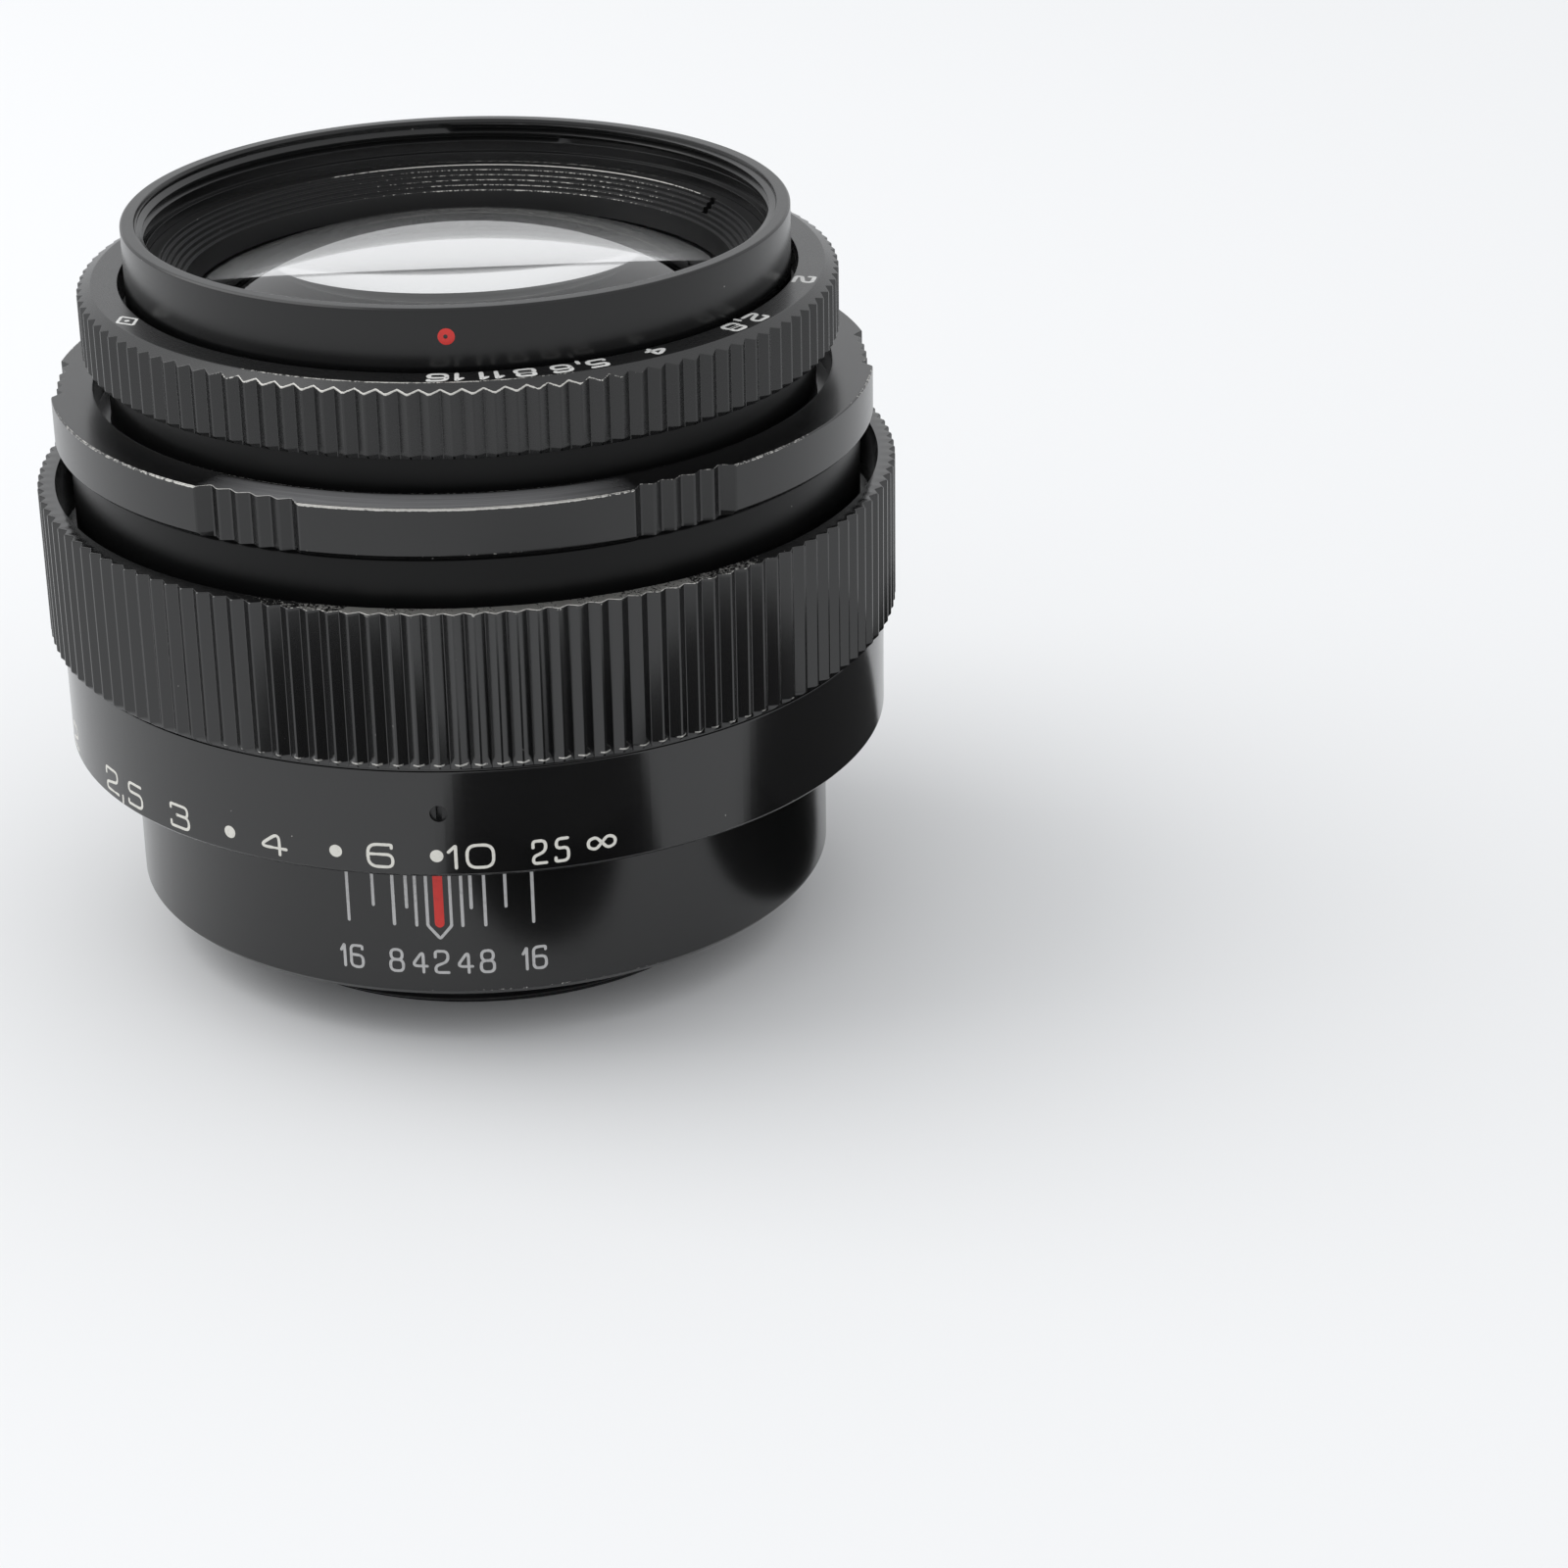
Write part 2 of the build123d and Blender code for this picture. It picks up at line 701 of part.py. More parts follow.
with BuildPart() as iris_actuator:
    revolve(box_outline(actuator_bore, actuator_radius, actuator_bottom, actuator_top), axis=Axis.Z)
    with BuildSketch(Plane.XY.offset(actuator_bottom - 0.5)):
        for blade in range(blade_count):
            angle = blade_span + blade * 360 / blade_count
            with Locations(Location((*polar(17.15, angle), 0), (0, 0, angle))):
                SlotOverall(4.3, 1.2)
    extrude(amount=2, mode=Mode.SUBTRACT)
    revolve(
        outline([
            (actuator_radius - 0.1, actuator_bottom),
            (arm_outer_radius, actuator_bottom),
            (arm_outer_radius, arm_top),
            (arm_inner_radius, arm_top),
            (arm_inner_radius, actuator_top),
            (actuator_radius - 0.1, actuator_top),
        ], drive_angle - lug_arc / 2),
        axis=Axis.Z,
        revolution_arc=lug_arc,
    )
    with BuildSketch(radial_plane(drive_angle, arm_inner_radius - 1, drive_screw_height)):
        Circle(drive_screw_radius)
    extrude(amount=4, mode=Mode.SUBTRACT)
save(iris_actuator, "iris_actuator")

for blade in range(blade_count):
    layer = Plane.XY.offset(blade_first_layer + blade * blade_layer).rotated((0, 0, blade * 360 / blade_count))
    with BuildPart() as iris_blade:
        with BuildSketch(layer):
            with BuildLine():
                inner = CenterArc((0, 0), blade_inner_radius, -blade_heel, blade_heel + blade_span + blade_toe)
                outer = CenterArc((0, 0), blade_outer_radius, -blade_heel, blade_heel + blade_span + blade_toe)
                Line(inner @ 0, outer @ 0)
                Line(inner @ 1, outer @ 1)
            make_face()
            with Locations(polar(blade_pivot_radius, 0)):
                Circle(0.35, mode=Mode.SUBTRACT)
        extrude(amount=blade_thickness)
        fillet(iris_blade.edges().filter_by(Axis.Z).sort_by(SortBy.LENGTH)[:4], 0.5)
    save(iris_blade, f"iris_blade_{blade + 1:02d}")

# ==== aperture ring ===============================================================================
with BuildPart() as aperture_ring:
    revolve(outline([
        (aperture_bore, aperture_bottom),
        (aperture_radius - 0.4, aperture_bottom),
        (aperture_radius, aperture_bottom + 0.4),
        (aperture_radius, aperture_top - 0.08),
        (aperture_radius - 0.08, aperture_top),
        (aperture_rim_radius, aperture_top),
        (aperture_rim_radius, aperture_groove_floor),
        (aperture_bore, aperture_groove_floor),
    ]), axis=Axis.Z)
    extrude(
        grip_face(aperture_bottom - 1),
        amount=aperture_top - aperture_bottom + 2,
        mode=Mode.INTERSECT,
    )
    with BuildSketch(radial_plane(drive_angle, hub_radius - 1, drive_screw_height)):
        Circle(drive_screw_radius)
    extrude(amount=6, mode=Mode.SUBTRACT)
    with BuildSketch(radial_plane(drive_angle, drive_head_start, drive_screw_height)):
        Circle(drive_head_radius)
    extrude(amount=4, mode=Mode.SUBTRACT)
save(aperture_ring, "aperture_ring")

with BuildPart() as aperture_drive_screw:
    with BuildSketch(radial_plane(drive_angle, arm_inner_radius + 0.1, drive_screw_height)):
        Circle(drive_screw_radius)
    extrude(amount=drive_head_start + 0.2 - arm_inner_radius)
    with BuildSketch(radial_plane(drive_angle, drive_head_start, drive_screw_height)):
        Circle(drive_head_radius)
    extrude(amount=1.3)
    with BuildSketch(radial_plane(drive_angle, drive_head_start + 0.9, drive_screw_height)):
        Rectangle(3, 0.3)
    extrude(amount=1, mode=Mode.SUBTRACT)
save(aperture_drive_screw, "aperture_drive_screw")

# ==== preset ring =================================================================================
with BuildPart() as preset_ring:
    revolve(outline([
        (front_radius + 0.05, preset_bottom),
        (preset_radius - 0.35, preset_bottom),
        (preset_radius, preset_bottom + 0.35),
        (preset_radius, preset_top - preset_bevel_height),
        (preset_bevel_radius, preset_top),
        (preset_recess_radius, preset_top),
        (preset_recess_radius, preset_recess_floor),
        (front_radius + 0.05, preset_recess_floor),
    ]), axis=Axis.Z)
    extrude(
        toothed_face(preset_teeth, preset_radius, preset_tooth_depth, preset_bottom - 1),
        amount=preset_top - preset_bottom + 2,
        mode=Mode.INTERSECT,
    )
    with BuildSketch(radial_plane(drive_angle, front_radius - 1, preset_stop_height)):
        Circle(preset_stop_radius)
    extrude(amount=6, mode=Mode.SUBTRACT)
save(preset_ring, "preset_ring")

with BuildPart() as preset_stop_screw:
    with BuildSketch(radial_plane(drive_angle, front_radius - 0.5, preset_stop_height)):
        Circle(preset_stop_radius)
    extrude(amount=3.3)
    with BuildSketch(radial_plane(drive_angle, front_radius + 2.4, preset_stop_height)):
        Rectangle(2, 0.22)
    extrude(amount=1, mode=Mode.SUBTRACT)
save(preset_stop_screw, "preset_stop_screw")

with BuildPart() as preset_click_ball:
    with Locations(Location((*polar(25.2, click_angle), preset_stop_height))):
        Sphere(click_ball_radius)
save(preset_click_ball, "preset_click_ball")

with BuildPart() as preset_click_spring:
    with BuildLine():
        coil = Helix(
            pitch=0.26,
            height=0.78,
            radius=0.36,
            center=(*polar(23.75, click_angle), preset_stop_height),
            direction=(*polar(1, click_angle), 0),
        )
    with BuildSketch(Plane(origin=coil @ 0, z_dir=coil % 0)):
        Circle(0.08)
    sweep()
save(preset_click_spring, "preset_click_spring")
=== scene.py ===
"""Preset portrait lens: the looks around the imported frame.

Sizes are in millimetres and are scaled to metres where a mesh is made.  The optical axis is +Z.  An angle
about the axis is in degrees from -Y, where the focus index is, towards +X.
"""

import math
import random

import bmesh
import bpy
import numpy as np
from mathutils import Matrix, Vector


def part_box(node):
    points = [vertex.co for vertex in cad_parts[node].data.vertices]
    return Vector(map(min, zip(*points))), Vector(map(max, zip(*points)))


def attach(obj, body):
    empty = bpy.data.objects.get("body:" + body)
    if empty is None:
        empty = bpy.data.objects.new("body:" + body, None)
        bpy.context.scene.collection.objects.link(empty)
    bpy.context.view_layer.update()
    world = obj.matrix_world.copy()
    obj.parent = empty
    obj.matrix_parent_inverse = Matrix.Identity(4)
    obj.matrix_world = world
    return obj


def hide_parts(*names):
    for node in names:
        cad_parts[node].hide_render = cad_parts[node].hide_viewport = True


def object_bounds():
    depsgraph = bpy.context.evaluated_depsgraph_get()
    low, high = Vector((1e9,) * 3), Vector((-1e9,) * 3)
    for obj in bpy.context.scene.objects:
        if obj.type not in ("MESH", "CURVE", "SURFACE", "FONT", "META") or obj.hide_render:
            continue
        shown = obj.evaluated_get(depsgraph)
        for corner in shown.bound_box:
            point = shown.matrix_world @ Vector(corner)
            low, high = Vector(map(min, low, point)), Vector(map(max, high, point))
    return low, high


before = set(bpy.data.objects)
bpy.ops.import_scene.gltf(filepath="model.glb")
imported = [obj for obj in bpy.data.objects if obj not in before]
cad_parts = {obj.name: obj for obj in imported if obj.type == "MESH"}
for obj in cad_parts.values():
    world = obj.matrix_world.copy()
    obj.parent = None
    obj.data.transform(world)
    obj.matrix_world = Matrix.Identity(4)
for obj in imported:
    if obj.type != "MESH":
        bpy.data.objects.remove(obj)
cad_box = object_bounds()

MM = 0.001
COLUMNS = 540                       # steps round a smooth ring


# ---- places and sizes from the frame ---------------------------------------------------------------
def span(node):
    """Outer radius, lowest and highest point of a node, in millimetres."""
    low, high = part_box(node)
    return (high[0] - low[0]) / 2 / MM, low[2] / MM, high[2] / MM


focus_radius, skirt_bottom, focus_top = span("focus_ring")
aperture_radius, aperture_bottom, aperture_top = span("aperture_ring")
preset_radius, preset_bottom, preset_top = span("preset_ring")
front_radius, _, front_top = span("front_barrel")
base_flange_radius, seat_height, base_top = span("base_barrel")
sleeve_radius, sleeve_bottom, hub_top = span("main_barrel")
retainer_radius, retainer_bottom, retainer_top = span("front_retaining_ring")
glass_radius, _, glass_top = span("front_element")
seat_radius, thread_end, mount_floor = span("mount_ring")

focus_teeth, focus_tooth_depth = 138, 0.5
preset_teeth, preset_tooth_depth = 118, 0.43
knurl_bottom = focus_top - 12.31
skirt_radius = focus_radius - 0.97
skirt_top = knurl_bottom - 0.45
barrel_radius = base_flange_radius - 0.9
hub_radius = 27.6
infinity_angle = 23.0               # of the mark, with the lens set to 8 m
focus_lead = 15.4
focal_length = 85.0


# ---- outlines --------------------------------------------------------------------------------------
def rounded(points, size, steps=3, guard=0.13):
    """Closed outline with its corners rounded.  A point is (radius, height) or (radius, height, wear).

    Wear fades out beside a corner.  Where it is negative it doesn't, and so it covers the face.
    """
    made = []
    count = len(points)
    for k, point in enumerate(points):
        here = np.array(point[:2], float)
        wear = point[2] if len(point) > 2 else 0.0
        before = np.array(points[k - 1][:2], float) - here
        after = np.array(points[(k + 1) % count][:2], float) - here
        room_before, room_after = np.linalg.norm(before), np.linalg.norm(after)
        cut = min(size, 0.3 * room_before, 0.3 * room_after)
        start = here + before / room_before * cut
        end = here + after / room_after * cut
        if wear > 0:
            made.append((*(start + before / room_before * min(guard, 0.15 * room_before)), 0.0))
        for step in range(steps + 1):
            t = step / steps
            place = (1 - t) ** 2 * start + 2 * t * (1 - t) * here + t ** 2 * end
            made.append((*place, abs(wear)))
        if wear > 0:
            made.append((*(end + after / room_after * min(guard, 0.15 * room_after)), 0.0))
    return made


def clipped(points, limit):
    """Outline cut off at a radius: the corners beyond it move to where the outline crosses it."""
    count = len(points)
    cut = []
    for k, (radius, height, *wear) in enumerate(points):
        if radius <= limit:
            cut.append(points[k])
            continue
        inside = [other for other in (points[k - 1], points[(k + 1) % count]) if other[0] <= limit]
        for other in inside:
            height += (other[1] - height) * (radius - limit) / (radius - other[0])
        cut.append((limit, height, wear[0] if wear and inside else (0.001 if wear and wear[0] > 0 else 0.0)))
    return cut


def tooth_columns(count, crest, depth, flat=0.05):
    """Angle and outer radius of each column of a ring with straight V teeth."""
    columns = []
    for tooth in range(count):
        for part, cut in ((-flat, 0.0), (flat, 0.0), (0.48, depth * 0.97), (0.52, depth * 0.97)):
            columns.append(((tooth + part) * 360 / count, crest - cut if cut else None))
    return columns


def grip_columns(crest):
    """Angle and outer radius of each column of the aperture ring: V grooves between smooth lands."""
    zones, grooves, pitch = 6, 5, 3.1
    columns = []
    for zone in range(zones):
        centre = -22.5 + zone * 360 / zones
        half = grooves / 2 * pitch
        columns.append((centre - half - 0.25, None))
        columns.append((centre - half, crest - 0.05))
        for groove in range(grooves):
            bottom = centre + (groove - (grooves - 1) / 2) * pitch
            for side in (-0.05, 0.05):
                columns.append((bottom + side * pitch, crest - 0.86))
            if groove < grooves - 1:
                for side in (-0.06, 0.06):
                    columns.append((bottom + (0.5 + side) * pitch, crest - 0.47))
        columns.append((centre + half, crest - 0.05))
        columns.append((centre + half + 0.25, None))
        land = 360 / zones - 2 * half - 0.5
        steps = 60
        columns += [(centre + half + 0.25 + land * k / steps, None) for k in range(1, steps)]
    return columns


# ---- meshes ----------------------------------------------------------------------------------------
def spot(radius, angle, height):
    """Point in millimetres from its radius, angle from the index and height."""
    turn = math.radians(angle)
    return (radius * math.sin(turn), -radius * math.cos(turn), height)


def crease(work, round_limit, other_limit):
    """Mark hard edges: those that run round the axis by one limit of angle, the others by a finer one."""
    for edge in work.edges:
        if len(edge.link_faces) != 2:
            continue
        first, second = (vertex.co for vertex in edge.verts)
        along = (second - first).normalized()
        middle = (first + second) / 2
        around = Vector((-middle.y, middle.x, 0)).normalized()
        limit = round_limit if abs(along.dot(around)) > 0.97 else other_limit
        edge.smooth = edge.calc_face_angle(0.0) < math.radians(limit)


def make(name, points, faces, body, material, wear=None, sharp=(30, 30), merge=0.0009):
    """New piece from points in millimetres, riding on a body."""
    mesh = bpy.data.meshes.new(name)
    mesh.from_pydata([(x * MM, y * MM, z * MM) for x, y, z in points], [], faces)
    if wear is not None:
        layer = mesh.attributes.new("wear", "FLOAT", "POINT")
        layer.data.foreach_set("value", np.asarray(wear, np.float32))
    work = bmesh.new()
    work.from_mesh(mesh)
    bmesh.ops.remove_doubles(work, verts=work.verts, dist=merge * MM)
    bmesh.ops.dissolve_degenerate(work, edges=work.edges, dist=merge * MM)
    bmesh.ops.recalc_face_normals(work, faces=work.faces)
    for face in work.faces:
        face.smooth = True
    crease(work, *sharp)
    work.to_mesh(mesh)
    work.free()
    piece = bpy.data.objects.new(name, mesh)
    bpy.context.collection.objects.link(piece)
    mesh.materials.append(material)
    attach(piece, body)
    return piece


def ring(name, profile, body, material, size=0.06, columns=None, closed=True, wear_at=None, sharp=(35, 12)):
    """Solid of revolution.  columns gives (angle, outer radius or None), wear_at scales wear by angle."""
    columns = columns or [(k * 360 / COLUMNS, None) for k in range(COLUMNS)]
    points, wear = [], []
    rows = 0
    for angle, limit in columns:
        outline = clipped(profile, limit) if limit else profile
        outline = rounded(outline, size) if size else [(*point, 0.0) for point in outline]
        rows = len(outline)
        amount = wear_at(angle) if wear_at else 0.0
        for radius, height, weight in outline:
            points.append(spot(radius, angle, height))
            wear.append(weight * amount)
    wide = len(columns)
    faces = []
    for column in range(wide):
        a, b = column * rows, (column + 1) % wide * rows
        for row in range(rows if closed else rows - 1):
            after = (row + 1) % rows
            faces.append((a + row, b + row, b + after, a + after))
    return make(name, points, faces, body, material, wear, sharp)


def helix_thread(name, crest, root, low, high, pitch, inside, body, material):
    """Screw thread: a helical V swept on a band, closed by a thin wall behind it."""
    wide = 300                          # steps round the axis
    wave = [0.0, 0.04, 0.46, 0.5, 0.54, 0.96]
    rows = []
    turns = int((high - low) / pitch) + 2
    for turn in range(-1, turns):
        rows += [(turn + part, part) for part in wave]
    points, faces = [], []
    back = root + (0.12 if inside else -0.12)
    for column in range(wide + 1):
        share = column / wide
        for position, part in rows:
            height = low + (position + share) * pitch
            depth = abs(part - 0.5) * 2
            radius = crest + (root - crest) * min(1.0, max(0.0, (depth - 0.12) / 0.76))
            ends = min(height - low, high - height)
            if ends <= 0:
                radius = root
            points.append(spot(radius, 360 * share, min(max(height, low), high)))
        points.append(spot(back, 360 * share, high))
        points.append(spot(back, 360 * share, low))
    tall = len(rows) + 2
    for column in range(wide):
        a, b = column * tall, (column + 1) * tall
        for row in range(tall):
            after = (row + 1) % tall
            faces.append((a + row, b + row, b + after, a + after))
    return make(name, points, faces, body, material, sharp=(40, 40))


def drill(piece, holes):
    """Cut round holes, each given as its radius, its depth and a matrix that places it."""
    cutter_mesh = bpy.data.meshes.new(piece.name + "_cutter")
    work = bmesh.new()
    for radius, depth, matrix in holes:
        bmesh.ops.create_cone(
            work, cap_ends=True, segments=32, radius1=radius * MM, radius2=radius * MM, depth=depth * MM,
            matrix=matrix,
        )
    work.to_mesh(cutter_mesh)
    work.free()
    cut_with(piece, cutter_mesh)


def cut_with(piece, cutter_mesh):
    """Boolean difference, applied to the piece's mesh."""
    cutter = bpy.data.objects.new(cutter_mesh.name, cutter_mesh)
    bpy.context.collection.objects.link(cutter)
    change = piece.modifiers.new("cut", "BOOLEAN")
    change.object = cutter
    change.solver = "EXACT"
    bpy.context.view_layer.update()
    result = bpy.data.meshes.new_from_object(piece.evaluated_get(bpy.context.evaluated_depsgraph_get()))
    piece.modifiers.clear()
    piece.data = result
    bpy.data.objects.remove(cutter)
    work = bmesh.new()
    work.from_mesh(result)
    crease(work, 35, 14)
    work.to_mesh(result)
    work.free()


def outward(angle, radius, height):
    """Matrix whose z points outward at a place on a cylinder, in metres."""
    turn = math.radians(angle)
    direction = Vector((math.sin(turn), -math.cos(turn), 0))
    matrix = direction.to_track_quat("Z", "Y").to_matrix().to_4x4()
    matrix.translation = Vector(spot(radius, angle, height)) * MM
    return matrix


# ---- materials -------------------------------------------------------------------------------------
class Graph:
    """Short calls for building a material's nodes."""

    def __init__(self, name):
        self.material = bpy.data.materials.new(name)
        self.material.use_nodes = True
        self.tree = self.material.node_tree
        self.tree.nodes.clear()
        self.shader = self.add("ShaderNodeBsdfPrincipled")
        output = self.add("ShaderNodeOutputMaterial")
        self.link(self.shader.outputs[0], output.inputs["Surface"])

    def add(self, kind, **settings):
        node = self.tree.nodes.new(kind)
        for key, value in settings.items():
            setattr(node, key, value)
        return node

    def link(self, source, target):
        self.tree.links.new(source, target)

    def put(self, value, target):
        if isinstance(value, bpy.types.NodeSocket):
            self.link(value, target)
        else:
            target.default_value = value

    def math(self, operation, *values, clamp=False):
        node = self.add("ShaderNodeMath", operation=operation, use_clamp=clamp)
        for value, target in zip(values, node.inputs):
            self.put(value, target)
        return node.outputs[0]

    def place(self):
        """Object position in millimetres, as x, y and z."""
        coordinates = self.add("ShaderNodeTexCoord").outputs["Object"]
        scale = self.add("ShaderNodeVectorMath", operation="SCALE")
        self.link(coordinates, scale.inputs[0])
        scale.inputs["Scale"].default_value = 1 / MM
        split = self.add("ShaderNodeSeparateXYZ")
        self.link(scale.outputs[0], split.inputs[0])
        return scale.outputs[0], split.outputs

    def vector(self, *values):
        node = self.add("ShaderNodeCombineXYZ")
        for value, target in zip(values, node.inputs):
            self.put(value, target)
        return node.outputs[0]

    def noise(self, vector, scale, detail=2.0, rough=0.5):
        node = self.add("ShaderNodeTexNoise")
        self.link(vector, node.inputs["Vector"])
        node.inputs["Scale"].default_value = scale
        node.inputs["Detail"].default_value = detail
        node.inputs["Roughness"].default_value = rough
        return node.outputs["Fac"]

    def ramp(self, value, low, high, clamp=True):
        """0 below low and 1 above high."""
        node = self.add("ShaderNodeMapRange", clamp=clamp)
        self.put(value, node.inputs["Value"])
        node.inputs["From Min"].default_value = low
        node.inputs["From Max"].default_value = high
        return node.outputs["Result"]

    def between(self, value, low, high):
        """low where value is 0, high where it is 1."""
        node = self.add("ShaderNodeMapRange")
        self.put(value, node.inputs["Value"])
        node.inputs["To Min"].default_value = low
        node.inputs["To Max"].default_value = high
        return node.outputs["Result"]

    def mix(self, factor, low, high):
        node = self.add("ShaderNodeMix", data_type="RGBA")
        self.put(factor, node.inputs["Factor"])
        self.put(low, node.inputs[6])
        self.put(high, node.inputs[7])
        return node.outputs[2]

    def channel(self, colour):
        """One channel of a colour, as a random number per cell."""
        node = self.add("ShaderNodeSeparateColor")
        self.link(colour, node.inputs[0])
        return node.outputs[0]

    def bump(self, height, distance, strength=1.0):
        node = self.add("ShaderNodeBump")
        self.link(height, node.inputs["Height"])
        node.inputs["Distance"].default_value = distance * MM
        node.inputs["Strength"].default_value = strength
        self.link(node.outputs[0], self.shader.inputs["Normal"])


def turned_coordinates(graph, x, y, z, along, across):
    """Coordinates that stretch a texture round the axis, as a lathe tool leaves it."""
    radius = graph.math("SQRT", graph.math("ADD", graph.math("MULTIPLY", x, x), graph.math("MULTIPLY", y, y)))
    angle = graph.math("ARCTAN2", y, x)
    return radius, graph.vector(
        graph.math("MULTIPLY", angle, along * 30),
        graph.math("MULTIPLY", z, across),
        graph.math("MULTIPLY", radius, across),
    )


def black_finish(name, tone=0.004, rough=0.20, gloss=0.6, turned=0.0012, dust=0.5, metal=(0.60, 0.59, 0.56),
                 rubbed=None):
    """Black finish on metal, with tool marks, dust specks, and bare metal where it is worn.

    rubbed is (height, inner radius, outer radius): a face that fingers have polished at the front.
    """
    graph = Graph(name)
    where, (x, y, z) = graph.place()
    radius, lathe = turned_coordinates(graph, x, y, z, 0.35, 9.0)
    marks = graph.noise(lathe, 1.0, 3.0, 0.6)
    cloud = graph.noise(where, 0.16, 3.0, 0.55)
    grain = graph.noise(where, 14.0, 2.0, 0.6)
    specks = graph.add("ShaderNodeTexVoronoi")
    graph.link(where, specks.inputs["Vector"])
    specks.inputs["Scale"].default_value = 0.6
    chosen = graph.math("GREATER_THAN", graph.channel(specks.outputs["Color"]), 1.0 - 0.3 * dust)
    near = graph.math("LESS_THAN", graph.math("ADD", specks.outputs["Distance"],
                                              graph.math("MULTIPLY", grain, 0.06)), 0.062)
    dusty = graph.math("MULTIPLY", chosen, near)
    attribute = graph.add("ShaderNodeAttribute", attribute_name="wear")
    patchy = graph.noise(where, 3.2, 3.0, 0.65)
    fine = graph.noise(where, 9.0, 2.0, 0.6)
    worn = graph.ramp(
        graph.math("ADD", attribute.outputs["Fac"],
                   graph.math("ADD", graph.math("MULTIPLY", patchy, 0.9), graph.math("MULTIPLY", fine, 0.5))),
        1.17, 1.3)
    coat = graph.mix(cloud, (tone * 0.8, tone * 0.82, tone * 0.88, 1), (tone * 1.25,) * 3 + (1,))
    coat = graph.mix(graph.math("MULTIPLY", dusty, 0.5), coat, (0.5, 0.49, 0.47, 1))
    colour = graph.mix(worn, coat, (*metal, 1))
    metallic = graph.math("MULTIPLY", worn, 0.92)
    if rubbed:
        height, inner, outer = rubbed
        front = graph.ramp(graph.math("DIVIDE", graph.math("MULTIPLY", y, -1.0), radius), 0.86, 0.97)
        band = graph.math("MULTIPLY", graph.ramp(radius, inner, inner + 0.5),
                          graph.math("SUBTRACT", 1.0, graph.ramp(radius, outer - 0.3, outer)))
        on_top = graph.math("GREATER_THAN", z, height)
        face = graph.math("MULTIPLY", on_top, graph.math("MULTIPLY", front, band))
        _, streaked = turned_coordinates(graph, x, y, z, 0.1, 6.0)
        streaks = graph.ramp(graph.noise(streaked, 1.0, 3.0, 0.6), 0.3, 0.7)
        polish = graph.math("MULTIPLY", face, graph.between(streaks, 0.45, 1.0))
        colour = graph.mix(polish, colour, (0.46, 0.46, 0.47, 1))
        metallic = graph.math("MAXIMUM", metallic, graph.math("MULTIPLY", polish, 0.8))
        worn = graph.math("MAXIMUM", worn, polish)
    graph.link(colour, graph.shader.inputs["Base Color"])
    graph.link(metallic, graph.shader.inputs["Metallic"])
    graph.shader.inputs["Specular IOR Level"].default_value = gloss
    turned_rough = graph.between(marks, rough - 0.03, rough + 0.03)
    smooth = graph.math("ADD", turned_rough, graph.between(cloud, -0.02, 0.03))
    rougher = graph.math("MULTIPLY", graph.math("MAXIMUM", dusty, worn), 0.28)
    graph.link(graph.math("ADD", smooth, rougher, clamp=True), graph.shader.inputs["Roughness"])
    height = graph.math("ADD", graph.math("MULTIPLY", marks, 0.6), graph.math("MULTIPLY", grain, 0.25))
    graph.bump(graph.math("SUBTRACT", height, graph.math("MULTIPLY", worn, 0.8)), turned)
    return graph.material


def matt_black(name, tone=0.012, rough=0.62):
    """Anti-reflection black inside the lens."""
    graph = Graph(name)
    where, _ = graph.place()
    cloud = graph.noise(where, 0.9, 4.0, 0.6)
    black = graph.mix(cloud, (tone * 0.7,) * 3 + (1,), (tone * 1.3,) * 3 + (1,))
    graph.link(black, graph.shader.inputs["Base Color"])
    graph.link(graph.between(cloud, rough - 0.08, rough + 0.08), graph.shader.inputs["Roughness"])
    graph.bump(graph.noise(where, 12.0, 2.0), 0.004)
    return graph.material


def bare_metal(name, colour, rough=0.28, along=0.35, across=8.0):
    """Turned metal: brass, aluminium or steel, with rings left by the tool and a little tarnish."""
    graph = Graph(name)
    where, (x, y, z) = graph.place()
    _, lathe = turned_coordinates(graph, x, y, z, along, across)
    marks = graph.noise(lathe, 1.0, 4.0, 0.65)
    tarnish = graph.noise(where, 0.5, 4.0, 0.6)
    dark = tuple(c * 0.62 for c in colour)
    metal = graph.mix(graph.ramp(tarnish, 0.35, 0.75), (*colour, 1), (*dark, 1))
    graph.link(metal, graph.shader.inputs["Base Color"])
    graph.shader.inputs["Metallic"].default_value = 1.0
    graph.link(graph.between(marks, rough - 0.08, rough + 0.12), graph.shader.inputs["Roughness"])
    graph.bump(marks, 0.003)
    return graph.material


def enamel_paint(name, colour, grime=(0.25, 0.25, 0.24), rough=0.42):
    """Paint wiped into an engraving: a little uneven, with grime in it."""
    graph = Graph(name)
    where, _ = graph.place()
    blotch = graph.ramp(graph.noise(where, 2.6, 4.0, 0.7), 0.52, 0.78)
    fine = graph.noise(where, 9.0, 2.0)
    graph.link(graph.mix(graph.math("MULTIPLY", blotch, 0.45), (*colour, 1), (*grime, 1)),
               graph.shader.inputs["Base Color"])
    graph.link(graph.between(fine, rough - 0.1, rough + 0.15), graph.shader.inputs["Roughness"])
    graph.bump(fine, 0.012)
    return graph.material


